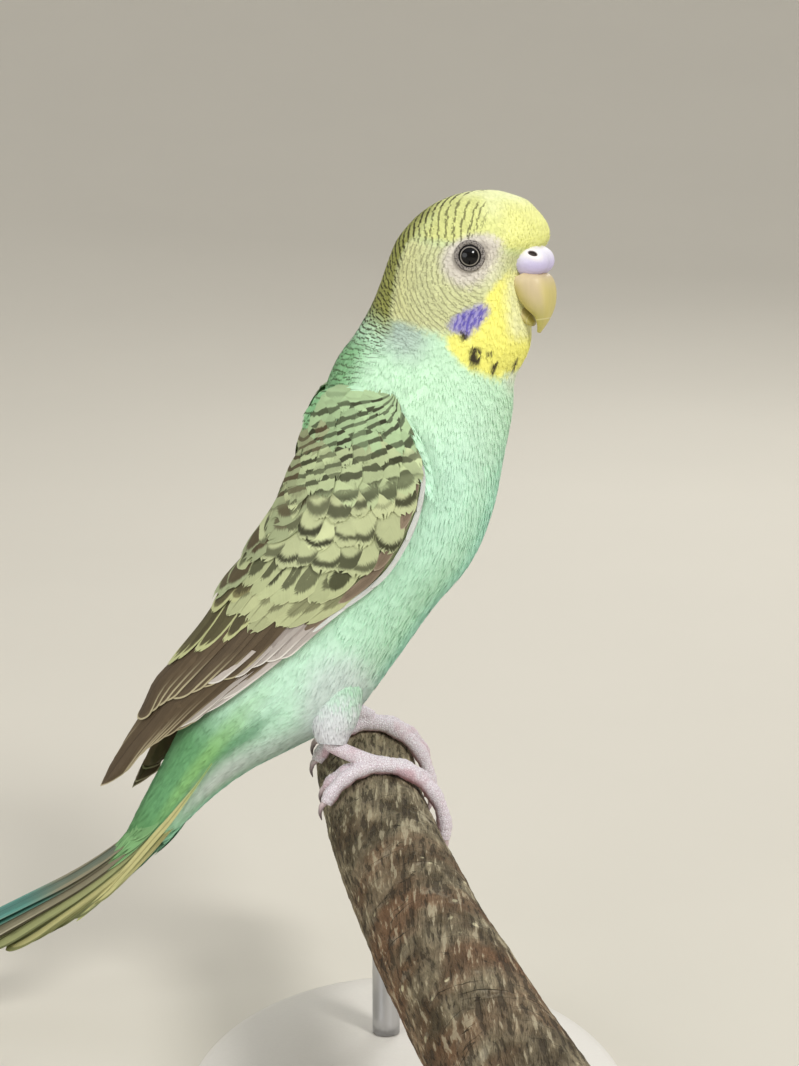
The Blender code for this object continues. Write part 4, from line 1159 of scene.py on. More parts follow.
# Slanting bars across the shoulder: for each bar, its s at the q of the first row
BAR_SIDES = (0.05, 0.20, 0.50, 0.68, 0.90)
BAR_LINES = (
    (-3.8, -3.4, -1.7, -0.6, 0.6),
    (-2.8, -2.4, -0.6, 0.4, 1.5),
    (-1.8, -1.4, 0.5, 1.4, 2.4),
    (-0.8, -0.4, 1.0, 1.85, 2.8),
    (0.0, 0.35, 1.55, 2.3, 3.15),
    (0.7, 1.0, 2.05, 2.8, 3.5),
    (1.3, 1.6, 2.55, 3.25, 3.9),
    (1.85, 2.15, 3.0, 3.65, 4.3),
    (2.5, 2.8, 3.65, 4.15, 4.8),
    (3.3, 3.7, 4.4, 4.7, 5.3),
)


def shoulder_bars(s, q):
    """Which bar each place is on, and how strongly the bars show there."""
    s = s - (q - 0.45) * np.interp(s, (0.0, 2.0, 4.0), (2.2, 1.5, 0.4))
    lines = [np.interp(q, BAR_SIDES, line) for line in BAR_LINES]
    phase = sum(np.clip((s - low) / (high - low), 0.0, 1.0)
                for low, high in zip(lines, lines[1:]))
    return stacked(phase, ramp(phase, 0.3, 0.7) * ramp(phase, 8.2, 7.6), 0 * s)


def make_wing(side, name, material):
    form = WINGS[side]
    plumes = Plumes(f"plumes_{name}", 12)
    for plume, count, tips, length, half, drift, lift in WING_TIERS:
        line = between(np.array(tips), np.linspace(0.0, 2.0, count))
        for i, (q, s) in enumerate(line):
            wobble = chance.normal(size=6)
            tip = (s + wobble[0] * plume.stray, q + wobble[1] * 0.3 * plume.stray)
            vane = plume.patterns[int(chance.integers(4))]
            wide = half * (1 + 0.8 * plume.stray * chance.normal())
            places, facing, at_s, at_q = wing_vane(
                form, tip, length * (1 + 0.05 * wobble[2]), wide,
                drift + 0.3 * plume.stray * wobble[3], lift + 0.008 * i,
                vane, plume.cup, plume.tilt)
            inner, outer, amount = plume.marks
            marks = (inner + 0.08 * wobble[4], outer + 0.06 * wobble[5],
                     amount * (0.75 + 0.25 * chance.random()))
            wave = shoulder_bars(at_s, at_q)
            wave[:, 0] += 0.13 * chance.normal()
            wave[:, 1] *= 0.65 + 0.35 * chance.random()
            plumes.put(plume, vane, places, facing, marks, 1.0 + 0.07 * chance.normal(), wave=wave)
    plumes.join(material, "wing_feathers", f"wing_{name}")


def cape_keep(s, q):
    """Where the body's feathers fall over the top of the wing."""
    top = np.interp(q, (0.0, 0.05, 0.2, 0.45, 0.62, 0.78, 1.0),
                    (0.8, -0.1, -0.6, -0.6, -0.1, 0.8, 1.9))
    return ((s < top) | ((q < 0.01) & (s < 1.7))).astype(float)


def cape_lie(form, numbers, spots):
    return unit(form.read(form.run, *numbers.T) + np.array([0.35, 0.0, -0.55]))


def cape_paint(form, numbers):
    return body_paint(BODY, BODY.settle(form.read(form.places, *numbers.T)))


def make_cape(side, name, material):
    """Body feathers that fall over the shoulder of the folded wing."""
    form = WINGS[side]
    places, numbers = scatter(form, lambda s, q: CAPE_SPACING + 0 * s, cape_keep)
    count = len(places)
    length = CAPE_LENGTH * (1 + 0.15 * chance.normal(size=count)).clip(0.7, 1.3)
    piece = small_feathers(f"coat_cape_{name}", form, places, numbers, cape_lie, length,
                           length * 0.26, np.full(count, 0.4), material, cape_paint,
                           [Tuft(9, 0.30, 0.10) for _ in range(8)], np.full(count, 0.35))
    dress(piece, "plumage_green")


def make_wing_web(side, name, material):
    """The wing under its feathers: a thin closed sheet."""
    form = WINGS[side]

    def shape(u, v):
        s = -0.45 + 12.9 * u
        q = np.where(v < 0.5, v * 2, 2 - v * 2)
        places, normals = form.look(s, 0.01 + q * 0.97)
        depth = WEB_DEPTH + 0.8 * (v > 0.5) * np.minimum(1.0, 6 * np.minimum(q, 1 - q))
        ground = blend(rgb(112, 98, 76), rgb(168, 178, 134), ramp(s, 8.0, 6.6)[:, None])
        plain = stacked(0 * u, 0 * u, 1 + 0 * u)
        return places - normals * depth[:, None], {"ground": ground, "pattern": plain,
                                                   "strength": plain}

    dress(grid_piece(f"web_{name}", 60, 40, shape, material), "wing_feathers")


def tail_line(distance, end_pitch):
    """Places and upward directions along a tail feather, which bends up past its root."""
    run = np.linspace(0.0, 1.0, 120) * distance.max()
    bent = np.minimum(1.0, run / TAIL_BEND)
    pitch = np.radians(TAIL_ROOT_PITCH + (end_pitch - TAIL_ROOT_PITCH) * bent)
    gap = np.diff(run, prepend=0.0)
    x = TAIL_ROOT[0] - np.cumsum(np.cos(pitch) * gap)
    z = TAIL_ROOT[1] - np.cumsum(np.sin(pitch) * gap)
    here = np.interp(distance, run, pitch)
    places = stacked(np.interp(distance, run, x), 0 * here, np.interp(distance, run, z))
    return places, stacked(-np.sin(here), 0 * here, np.cos(here))


CENTRAL = Plume((92, 148, 136), (60, 96, 88), (128, 160, 140), (0.0, 0.6, 0.5), 0.12, 1.0,
                tip_from=0.7, root_width=0.7, rows=40)
UPPER_TAIL = Plume((142, 136, 112), (82, 78, 58), (178, 172, 146), (0.0, 0.5, 0.35), 0.14, 1.0,
                   tip_from=0.78, root_width=0.7, rows=36)
GREEN_TAIL = Plume((156, 160, 112), (92, 92, 60), (112, 116, 78), (0.0, 0.35, 0.4), 0.16, 1.0,
                   tip_from=0.8, root_width=0.7, rows=32)
SIDE_TAIL = Plume((184, 180, 126), (104, 100, 64), (128, 130, 84), (0.0, 0.3, 0.4), 0.16, 1.0,
                  tip_from=0.8, root_width=0.7, rows=32)
STRIPE = Plume((196, 192, 136), (120, 112, 64), (168, 172, 116), (0.0, 0.3, 0.1), 0.12, 1.0,
               tip_from=0.6, root_width=0.2, rows=40, columns=7)
COVERT = {"bow": 0.9, "tip_from": 0.45, "ragged": 0.3, "rows": 18}
TOP_COVERT = Plume((120, 166, 110), (96, 140, 92), (140, 182, 126), (0.0, 0.5, 0.25), 0.05, 0.3,
                   **COVERT)
UNDER_COVERT = Plume((172, 226, 190), (144, 204, 168), (180, 226, 196), (0.0, 0.4, 0.2), 0.05,
                     0.1, **COVERT)
TAIL_LOOKS = (CENTRAL, UPPER_TAIL, GREEN_TAIL, SIDE_TAIL, GREEN_TAIL, SIDE_TAIL)
# Coverts over and under the root of the tail: look, how many on each side, length, half
# width, widest place sideways, depth below the tail's top, end pitch and roll at the side
TAIL_COVERTS = (
    (TOP_COVERT, 5, 24.0, 1.7, 3.2, -0.5, 40.0, 50.0),
    (TOP_COVERT, 6, 18.0, 1.8, 3.8, -0.9, 44.0, 50.0),
    (TOP_COVERT, 6, 13.0, 1.9, 4.2, -1.2, 47.0, 50.0),
    (UNDER_COVERT, 4, 16.0, 1.8, 2.4, 5.0, 50.0, 130.0),
    (UNDER_COVERT, 5, 11.0, 2.0, 3.0, 5.6, 52.0, 130.0),
)

# The pale stripe along each side of the rump and tail
STRIPE_KNOTS = ((-32.1, 7.4, 2.4), (-37.6, 6.4, -5.4), (-42.6, 5.2, -12.6), (-48.4, 4.4, -19.8),
                (-54.2, 4.0, -26.4), (-60.0, 3.8, -32.2))


def tail_vane(vane, length, half, sideways, drop, pitch, roll, side, bend):
    """One feather along the tail, with a slight sway of its own."""
    centre, up = tail_line(vane.along * length, pitch)
    out = np.array([0.0, -1.0, 0.0]) * side
    turn = math.radians(roll)
    across = out * math.cos(turn) - up * math.sin(turn)
    sway = bend * ramp(vane.along, 0.2, 1.0) * length / 45.0
    width = vane.across * half
    places = centre + out * (sideways + sway)[:, None] - up * drop + across * width[:, None]
    places = places - up * (0.10 * half * vane.across**2)[:, None] + up * 0.25
    facing = np.cross(across, np.gradient(centre, axis=0)) * side
    return places, unit(facing)


def make_tail(material):
    plumes = Plumes("plumes_tail", 8)
    for index, (length, half, sideways, drop, pitch, roll) in enumerate(TAIL_FEATHERS):
        plume = TAIL_LOOKS[index]
        for side in SIDES.values():
            for layer in range(3 if index > 0 else 2):
                vane = plume.patterns[int(chance.integers(4))]
                wobble = chance.normal(size=3)
                places, facing = tail_vane(
                    vane, length * (1 - 0.08 * layer), half * (1.0 - 0.16 * layer), sideways,
                    drop + 0.35 * layer, pitch + 1.2 * layer + 0.5 * wobble[0],
                    roll + 5 * layer, side, 0.9 * wobble[1])
                near = (plume if index else UPPER_TAIL).colours["ground"]
                ground = blend(near, plume.colours["ground"],
                               ramp(vane.along, 0.40, 0.56)[:, None])
                plumes.put(plume, vane, places, facing, None, 1.0 + 0.06 * wobble[2], ground)
    for side in SIDES.values():
        line = smooth_path([(x, -side * y, z) for x, y, z in STRIPE_KNOTS], 60)
        near = BODY.settle(line)
        spots, outward = BODY.look(*near.T)
        over = (near[:, 0] > -1.0) & (((spots - line) * outward).sum(1) > -0.5)
        line = np.where(over[:, None], spots + outward * 0.5, line)
        for _ in range(6):
            line[1:-1] = (line[:-2] + line[1:-1] * 2 + line[2:]) / 4
        vane = STRIPE.patterns[0]
        steps = np.linspace(0, 1, 60)
        centre = np.stack([np.interp(vane.along, steps, line[:, k]) for k in range(3)], 1)
        across = np.array([0.62, 0.0, -0.78])
        facing = np.tile([0.0, -side, 0.0], (len(centre), 1))
        places = (centre + across * (vane.across * 0.75)[:, None]
                  + facing * (0.2 - 0.15 * vane.across**2)[:, None])
        ground = blend(rgb(150, 190, 126), STRIPE.colours["ground"],
                       ramp(vane.along, 0.0, 0.3)[:, None])
        plumes.put(STRIPE, vane, places, facing, ground=ground)
    for plume, count, length, half, widest, drop, pitch, roll in TAIL_COVERTS:
        for side in SIDES.values():
            for share in np.linspace(1.0, 0.12, count):
                vane = plume.patterns[int(chance.integers(4))]
                reach = length * (1.05 - 0.3 * share**2 + 0.08 * chance.normal())
                low = drop + (1.2 if drop < 0 else -1.6) * share**2
                under = 180.0 if drop > 0 else 0.0
                places, facing = tail_vane(
                    vane, reach, half, widest * share, low, pitch,
                    under + (roll - under) * share, side, 0.3 * chance.normal())
                aside = unit(facing * 0.3 + np.array([0.0, -0.8 * side, 0.35]))
                plumes.put(plume, vane, places, aside, None, 1.0 + 0.05 * chance.normal())
    plumes.join(material, "tail_feathers", "tail")


# Eyes, bill and cere

def eye_axis(side):
    """The place on the head over an eye, and the way that the eye looks."""
    t = EYE_PLACE[0] + np.array([0, 0.3, -0.3, 0, 0])
    a = side * EYE_PLACE[1] + np.array([0, 0, 0, 8.0, -8.0])
    p = body_points(t, a)
    outward = unit(np.cross(p[1] - p[2], p[3] - p[4]))
    centre = body_points(np.full(2, EYE_PLACE[0]), np.array([0.0, 180.0])).mean(0)
    return p[0], outward if outward @ (p[0] - centre) > 0 else -outward


def eye_finish():
    made = Finish("glossy_eye", Roughness=0.05, Specular_IOR_Level=0.28)
    radius = made.parts("vane")[0]
    streaks = made.noise(3000.0, detail=1.0)
    iris = made.shade(rgb(140, 134, 126), 0.8 + 0.4 * streaks)
    ring = radius.between(1.54, 1.62) * radius.between(1.80, 1.72)
    made.colour(made.mix(rgb(5, 4, 5), iris, ring))
    return made.material


def lid_finish():
    made = Finish("grey_lid", Roughness=0.6, Specular_IOR_Level=0.35)
    grains = made.add("TexVoronoi", values={0: made.place(), 2: 3200.0})
    pale = grains.between(0.25, 0.6) * (0.4 + 0.9 * made.noise(900.0))
    made.colour(made.mix(rgb(74, 68, 66), rgb(150, 144, 138), pale))
    made.bump(grains, 0.00008, 0.6)
    return made.material


def make_eyes():
    ball = eye_finish()
    skin = lid_finish()
    for name, side in SIDES.items():
        place, outward = eye_axis(side)
        across = unit(np.cross((0.0, 0.0, 1.0), outward))
        upward = np.cross(outward, across)
        centre = place - outward * EYE_DEPTH

        def ring(turn):
            return across * np.cos(turn)[:, None] + upward * np.sin(turn)[:, None]

        def eyeball(u, v):
            polar = math.pi * u
            bulge = 1 + 0.04 * np.exp(-(polar / 0.5) ** 2)
            at = centre + EYE_RADIUS * (np.sin(polar)[:, None] * ring(math.tau * v)
                                        + outward * (np.cos(polar) * bulge)[:, None])
            front = np.where(polar < math.pi / 2, EYE_RADIUS * np.sin(polar), EYE_RADIUS)
            return at, {"vane": stacked(front, v, 0 * v)}

        def lid(u, v):
            turn = math.tau * u
            roll = math.tau * v
            major = LID_RADIUS + 0.10 * np.sin(turn + 0.4)
            at = place + ring(turn) * (major + LID_THICKNESS * np.cos(roll))[:, None]
            return at + outward * (0.10 + 0.62 * LID_THICKNESS * np.sin(roll))[:, None], {}

        dress(grid_piece(f"eyeball_{name}", 60, 64, eyeball, ball), "eye", f"eye_{name}")
        dress(grid_piece(f"eyelid_{name}", 72, 20, lid, skin), "plumage_yellow")


# The bill's two halves from root to tip: upper and lower edge, forward and up, and half width
UPPER_BILL = np.array((
    (14.2, 95.2, 9.6, 92.8, 4.3),
    (16.8, 94.3, 11.0, 91.5, 4.4),
    (17.9, 92.1, 12.3, 89.6, 4.1),
    (18.1, 89.5, 13.5, 88.1, 3.4),
    (17.7, 87.3, 14.8, 86.8, 2.5),
    (16.9, 85.4, 15.2, 85.2, 1.5),
    (15.7, 83.6, 15.1, 83.8, 0.5),
))
LOWER_BILL = np.array((
    (9.4, 91.0, 9.4, 86.2, 3.2),
    (11.6, 90.2, 11.4, 86.0, 3.2),
    (12.9, 88.6, 12.6, 85.4, 2.8),
    (13.9, 87.0, 13.6, 84.9, 2.0),
    (14.6, 85.7, 14.3, 84.8, 0.9),
))
CERE_PLACE = (13.9, 1.2, 97.0)
CERE_RADII = (3.8, 3.4, 2.95)
CERE_VOXEL = 0.16
NOSTRIL_PLACE = (15.2, 3.2, 98.2)
NOSTRIL_DEPTH = 0.75
NOSTRIL_RIM = 0.14


def bill_finish():
    made = Finish("bill_horn", Roughness=0.42, Specular_IOR_Level=0.4)
    height, front = made.parts("vane")[:2]
    grain = made.noise(260.0, made.stretched((1.0, 1.0, 0.25)), 4.0)
    fine = made.noise(1400.0, made.stretched((1.0, 1.0, 0.15)), 2.0)
    colour = made.mix(rgb(210, 192, 156), rgb(186, 178, 104), height.between(0.20, 0.85))
    colour = made.mix(colour, rgb(176, 164, 88), (1.0 - front).between(0.35, 0.9) * 0.75)
    ridge = front.between(0.75, 1.0) * height.between(0.1, 0.4)
    colour = made.mix(colour, rgb(206, 194, 112), ridge * 0.7)
    colour = made.mix(colour, rgb(220, 212, 160), (height - 0.74).size().between(0.02, 0.0) * 0.8)
    made.colour(made.shade(colour, 0.84 + 0.2 * grain + 0.12 * fine))
    made.bump(grain * 0.6 + fine * 0.4, 0.00012, 0.5)
    return made.material


def make_bill():
    finish = bill_finish()
    for name, profile in (("upper", UPPER_BILL), ("lower", LOWER_BILL)):
        def shape(u, v, table=profile):
            rows = between(table, u * (len(table) - 1))
            turn = math.tau * v
            full = 1.0 - (0.4 if table is UPPER_BILL else 0.0) * ramp(u, 0.98, 0.5)
            share = (1 + signed_power(np.cos(turn), full)) / 2
            forward = rows[:, 2] + (rows[:, 0] - rows[:, 2]) * share
            up = rows[:, 3] + (rows[:, 1] - rows[:, 3]) * share
            side = np.maximum(rows[:, 4], 0.25) * signed_power(np.sin(turn), full)
            return head_frame(forward, side, up), {"vane": stacked(u, share, 0 * u)}

        dress(grid_piece(f"horn_{name}", 60, 44, shape, finish), "bill", f"bill_{name}")


def cere_finish():
    made = Finish("cere_skin", Roughness=0.5, Specular_IOR_Level=0.4)
    height, near = made.parts("vane")[:2]
    pores = made.noise(2400.0, detail=2.0)
    cloud = made.noise(300.0, detail=2.0)
    colour = made.mix(rgb(200, 192, 230), rgb(232, 229, 242), height.between(0.30, 0.85))
    colour = made.mix(colour, rgb(234, 190, 186), height.between(0.12, 0.02) * 0.8)
    colour = made.mix(colour, rgb(244, 240, 244), near.between(1.7, 0.75))
    # Painted shade: the inside of the nostril's hole is darkened to near black.
    colour = made.mix(colour, rgb(70, 60, 56), near.between(0.62, 0.42))
    made.colour(made.shade(colour, 0.9 + 0.12 * pores + 0.08 * cloud))
    made.bump(pores, 0.00006, 0.5)
    return made.material


def voxel_skin(made, voxel, rounds):
    """One skin over a piece's overlapping solids, smoothed."""
    remesh = made.modifiers.new("one_skin", "REMESH")
    remesh.mode = "VOXEL"
    remesh.voxel_size = voxel * MM
    soften = made.modifiers.new("soften", "SMOOTH")
    soften.iterations = rounds
    graph = bpy.context.evaluated_depsgraph_get()
    mesh = bpy.data.meshes.new_from_object(made.evaluated_get(graph))
    made.modifiers.clear()
    made.data = mesh
    mesh.shade_smooth()
    points = np.empty(len(mesh.vertices) * 3, np.float32)
    mesh.vertices.foreach_get("co", points)
    return points.reshape(-1, 3) / MM + STAND_SHIFT


def refine(mesh, points, readings, material):
    """New places, readings and the one finish of a remeshed skin."""
    mesh.vertices.foreach_set("co", stand_place(points).astype(np.float32).ravel())
    mesh.update()
    write_fields(mesh, {"vane": readings})
    mesh.materials.clear()
    mesh.materials.append(material)


def make_cere():
    form = bmesh.new()
    for side in SIDES.values():
        before = set(form.verts)
        bmesh.ops.create_uvsphere(form, u_segments=40, v_segments=24, radius=1.0)
        fresh = [v for v in form.verts if v not in before]
        numbers = np.array([v.co[:] for v in fresh]) * CERE_RADII
        centre = np.array(CERE_PLACE) * (1, side, 1)
        for vert, place in zip(fresh, stand_place(head_frame(*(centre + numbers).T))):
            vert.co = place
    mesh = bpy.data.meshes.new("cere_skin")
    form.to_mesh(mesh)
    form.free()
    made = placed("cere_skin", mesh)
    points = voxel_skin(made, CERE_VOXEL, 6)
    near = np.full(len(points), 9.0)
    centre = head_frame(CERE_PLACE[0], 0.0, CERE_PLACE[2])
    for side in SIDES.values():
        hole = head_frame(NOSTRIL_PLACE[0], side * NOSTRIL_PLACE[1], NOSTRIL_PLACE[2])
        nearest = points[np.argmin(np.linalg.norm(points - hole, axis=1))]
        away = points - nearest
        slant = head_frame(1.0, side * -0.2, -0.35) - head_frame(0.0, 0.0, 0.0)
        run = away @ unit(slant)
        gap = np.sqrt(np.maximum((away**2).sum(1) - run**2, 0) + (run * 0.55) ** 2)
        near = np.minimum(near, gap)
        inward = unit(centre - nearest)
        rim = np.exp(-((gap - 0.85) / 0.3) ** 2)
        points = points + inward * (NOSTRIL_DEPTH * ramp(gap, 0.62, 0.25))[:, None]
        points = points - inward * (NOSTRIL_RIM * rim)[:, None]
    height = (points[:, 2] - CERE_PLACE[2] + 2.9) / 5.8
    refine(made.data, points, stacked(height, near, 0 * near), cere_finish())
    dress(made, "cere", "cere")


# Legs and feet

def perch_axis(along):
    rise = PERCH_RISE * np.maximum(0.0, along - PERCH_RISE_START) ** 2
    x = PERCH_OFFSET + PERCH_SLANT * along + PERCH_BEND * along**2
    return np.stack([x, along + 0 * x, rise - PERCH_RADIUS], -1)


def round_perch(along, angle, distance):
    """Points beside the branch: angle 90 is its top and 0 its front."""
    along = np.asarray(along, float)
    slope = PERCH_SLANT + 2 * PERCH_BEND * along
    rise = 2 * PERCH_RISE * np.maximum(0.0, along - PERCH_RISE_START)
    side = unit(np.stack([np.ones_like(along), -slope, 0 * along], -1))
    up = np.stack([0 * along, 0 * along, np.hypot(1.0, rise)], -1)
    a = np.radians(angle)
    out = np.cos(a)[..., None] * side + np.sin(a)[..., None] * up
    return perch_axis(along) + np.asarray(distance)[..., None] * out


def leg_knots(along, ankle):
    """A leg's line from the body down to the branch."""
    foot = round_perch(np.array(along), np.array(90.0), np.array(PERCH_RADIUS))
    out = math.copysign(1.0, along)
    return (
        (-7.0, out * 9.0, 18.0),
        (-8.0, out * 9.6, 13.0),
        (-9.2, out * 10.2, 8.2 + 1.2 * ankle),
        (-9.4, out * 10.8, 5.4 + 1.8 * ankle),
        (foot[0] - 3.4, along, foot[2] + 3.1 + ankle),
        (foot[0] + 0.6, along, foot[2] + 1.75 + 0.5 * ankle),
    )


def foot_finish():
    made = Finish("scaly_foot_skin", Roughness=0.55, Specular_IOR_Level=0.35)
    crease_and_shade = made.parts("vane")[0]
    grains = made.add("TexVoronoi", values={0: made.place(), 2: 2600.0})
    scales = made.add("TexVoronoi", {"feature": "DISTANCE_TO_EDGE"}, {0: made.place(), 2: 2300.0})
    cloud = made.noise(160.0)
    colour = made.mix(rgb(222, 208, 218), rgb(240, 234, 240), grains.between(0.1, 0.6))
    colour = made.mix(colour, rgb(206, 158, 168), cloud.between(0.48, 0.68) * 0.7)
    # Painted shade: a dark red-brown in the toes' creases and on their undersides where they lie
    # against the branch.
    colour = made.mix(colour, rgb(176, 104, 108), crease_and_shade.between(0.35, 0.95) * 0.75)
    colour = made.mix(colour, rgb(184, 158, 168), scales.between(0.10, 0.02) * 0.6)
    made.colour(colour)
    made.bump(scales.between(0.0, 0.25) - crease_and_shade * 1.2, 0.00014, 0.7)
    return made.material


def claw_finish():
    made = Finish("claw_horn", Roughness=0.35, Specular_IOR_Level=0.5)
    along = made.parts("vane")[0]
    grain = made.noise(800.0, detail=2.0)
    colour = made.mix(rgb(206, 186, 188), rgb(96, 84, 84), along.between(0.15, 0.9))
    made.colour(made.shade(colour, 0.85 + 0.25 * grain))
    return made.material


def swept(name, line, radius, material, rows, columns, shaded=False):
    """A closed round bar; radius is worked out from its share along."""

    def shape(u, v):
        fine = smooth_path(line, rows + 1)
        rings = tube_points(fine, np.ones(len(fine)), math.tau * np.arange(columns) / columns)
        i = np.round(u * rows).astype(int)
        out = rings[i, np.round(v * columns).astype(int) % columns] - fine[i]
        fields = {"vane": stacked(u, v, 0 * v)} if shaded else {}
        return fine[i] + out * radius(u)[:, None], fields

    return grid_piece(name, rows, columns, shape, material)


def joined(pieces, name):
    """Several pieces as one object."""
    with bpy.context.temp_override(active_object=pieces[0], selected_editable_objects=pieces,
                                   selected_objects=pieces):
        bpy.ops.object.join()
    pieces[0].name = name
    pieces[0].data.name = name
    return pieces[0]


def make_feet():
    skin = foot_finish()
    horn = claw_finish()
    distance = PERCH_RADIUS + GAP + TOE_RADIUS
    shares = np.linspace(0.0, 1.0, 9)
    lift = np.interp(shares, (0.0, 0.35, 0.7, 1.0), (0.0, 0.55, 0.4, -0.3))
    for name, (along, ankle) in FEET.items():
        shank = np.array(leg_knots(along, ankle))[2:]
        shank[0, 2] -= 1.0
        bars = [swept("shank", shank, shank_radius, skin, 40, 24)]
        claws = []
        for _, wrap_to, slide, claw_turn in TOES.values():
            path = round_perch(along + slide * shares, 90.0 + (wrap_to - 90.0) * shares, distance)
            bars.append(swept("toe", path, toe_radius, skin, 60, 28))
            claw_from = wrap_to + math.copysign(4.0, claw_turn)
            path = round_perch(along + slide + 0 * shares, claw_from - claw_turn * 1.1 * shares,
                               distance + lift)
            claws.append(swept("claw", path, claw_radius, horn, 24, 16, shaded=True))
        foot = joined(bars, f"foot_skin_{name}")
        points = voxel_skin(foot, FOOT_VOXEL, 3)
        crease_and_shade = foot_creases_and_shade(points, distance)
        refine(foot.data, points, stacked(crease_and_shade, 0 * crease_and_shade, 0 * crease_and_shade), skin)
        dress(foot, "leg_skin", f"foot_{name}")
        dress(joined(claws, f"claws_{name}"), "leg_skin")


def shank_radius(u):
    return SHANK_RADIUS - 0.12 * np.sin(math.pi * u)


def claw_radius(u):
    return 0.06 + 0.72 * (1 - u) ** 0.8


def toe_radius(u):
    """Toes swell at each pad and narrow at each joint."""
    pads = 0.09 * np.cos(math.tau * 3.5 * u)
    ridges = 0.045 * np.sin(math.tau * 15 * u)
    return TOE_RADIUS * (1.06 - 0.20 * u + pads + ridges)


def foot_creases_and_shade(points, distance):
    """How deep in the toes' creases each point of the foot is, and how far down the toe's
    underside against the branch it lies; used for the relief and as a mask of painted shade.
    """
    away = points - perch_axis(points[:, 1])
    reach = np.hypot(away[:, 0], away[:, 2])
    rings = np.cos(np.arctan2(away[:, 2], away[:, 0]) * CREASES_ROUND)
    crease_and_shade = ramp(rings, 0.55, 1.0) * ramp(reach, distance - 1.2, distance + 0.2) * 0.5
    return np.maximum(crease_and_shade, ramp(reach, distance - 0.2, distance - 1.2) * 0.8)


def thigh_form(along, ankle):
    """The thigh's surface, its top sunk into the body."""
    rows = np.linspace(0.0, 1.0, 40)
    angles = np.linspace(0.0, 360.0, 61)
    knots = np.array(leg_knots(along, ankle))[:4]
    out = math.copysign(1.0, along)
    line = smooth_path([(-3.5, out * 3.0, 31.0), (-6.0, out * 6.4, 24.0), *knots], 40)
    radii = between(np.array(THIGH_RADII)[:, None], rows * 5)[:, 0]
    rings = tube_points(line, radii, np.radians(angles))
    outward = BODY.look(*BODY.settle(rings.reshape(-1, 3)).T)[1].reshape(rings.shape)
    sunk = THIGH_SINK * ramp(rings[..., 2], 4.0, 20.0)
    return Form(rows, angles, rings - outward * sunk[..., None])


def thigh_paint(form, numbers):
    """The belly's colours above and a pale lilac white below."""
    ground = cape_paint(form, numbers)[0]
    down = numbers[:, :1]
    ground = blend(ground, rgb(230, 232, 237), ramp(down, 0.40, 0.95))
    ground = blend(ground, rgb(184, 230, 198), ramp(down, 0.78, 0.36))
    nothing = np.zeros((len(numbers), 2))
    return ground, nothing, nothing


def thigh_lie(form, numbers, spots):
    return form.read(form.run, *numbers.T)


def make_thighs(material):
    for name, (along, ankle) in FEET.items():
        form = thigh_form(along, ankle)
        places, numbers = scatter(form, lambda u, a: THIGH_SPACING + 0 * u,
                                  lambda u, a: (u > 0.30).astype(float))
        length = 6.0 - 3.4 * numbers[:, 0]
        piece = small_feathers(f"coat_thigh_{name}", form, places, numbers, thigh_lie, length,
                               length * 0.25, 0.3 + 0 * length, material, thigh_paint,
                               [Tuft(6, 0.24, 0.08) for _ in range(5)], 0.15 + 0 * length)

        def core(u, v):
            at, normals = form.look(u, 360.0 * v)
            ground, phases, strengths = thigh_paint(form, stacked(u, v))
            return at - normals * THIGH_SKIN_DEPTH, {
                "ground": ground, "pattern": stacked(phases, 0.9 + 0 * u),
                "strength": stacked(strengths, 0.5 + 0 * u)}

        skin = grid_piece(f"thigh_skin_{name}", 40, 36, core, material)
        dress(piece, "plumage_green")
        dress(skin, "plumage_green", f"leg_{name}")


# Branch and stand

def bark_finish():
    made = Finish("grey_bark", Roughness=0.85, Specular_IOR_Level=0.2)
    down = made.parts("vane")[0]
    fibre = made.noise(620.0, made.stretched((1.0, 0.14, 1.0)), 4.0, 0.65)
    slits = made.noise(900.0, made.stretched((1.0, 0.10, 1.0)), 4.0, 0.6)
    across = (made.noise(120.0, made.stretched((0.35, 1.6, 0.35)), 2.0) - 0.5).size()
    grain = made.noise(150.0, made.stretched((1.0, 0.4, 1.0)), 5.0, 0.6)
    patch = made.noise(38.0, detail=3.0)
    lichen = made.noise(170.0, detail=4.0, rough=0.6)
    flecks = made.add("TexVoronoi", values={0: made.stretched((1.0, 0.6, 1.0)), 2: 330.0})
    colour = made.mix(rgb(92, 80, 60), rgb(152, 140, 114), grain.between(0.36, 0.62))
    brown = patch.between(0.44, 0.62) * down.between(0.22, 0.5)
    colour = made.mix(colour, rgb(128, 94, 68), brown * 0.75)
    colour = made.mix(colour, rgb(176, 168, 146), lichen.between(0.58, 0.70) * 0.45)
    colour = made.shade(colour, 0.40 + 1.25 * fibre)
    colour = made.mix(colour, rgb(54, 45, 33), slits.between(0.45, 0.39) * 0.8)
    colour = made.mix(colour, rgb(178, 168, 142), slits.between(0.58, 0.63) * 0.6)
    cracks = across.between(0.010, 0.003) * lichen.between(0.40, 0.60)
    colour = made.mix(colour, rgb(52, 42, 30), cracks)
    pale = flecks.between(0.20, 0.12) * lichen.between(0.52, 0.60)
    colour = made.mix(colour, rgb(212, 202, 166), pale)
    made.colour(colour)
    made.bump(fibre * 0.8 + slits.between(0.34, 0.60) + grain, 0.0009, 1.0)
    return made.material


def bark_height(along, angle):
    """The bark's own relief: lengthwise ridges, swellings and a knot."""
    height = np.empty(len(along))
    for k, (y, a) in enumerate(zip(along.tolist(), angle.tolist())):
        c = math.cos(a) * 3.0
        s = math.sin(a) * 3.0
        wide = noise.noise(Vector((c * 0.5, s * 0.5, y * 0.045)))
        ridge = noise.fractal(Vector((c * 2.6, s * 2.6, y * 0.16)), 1.0, 2.2, 4)
        height[k] = 0.35 * wide + 0.20 * ridge
    knot = np.exp(-(((along + 100.0) / 3.5) ** 2 + ((angle - math.radians(150)) / 0.30) ** 2))
    return np.clip(height - 0.12, -0.6, 0.22) + 0.5 * knot


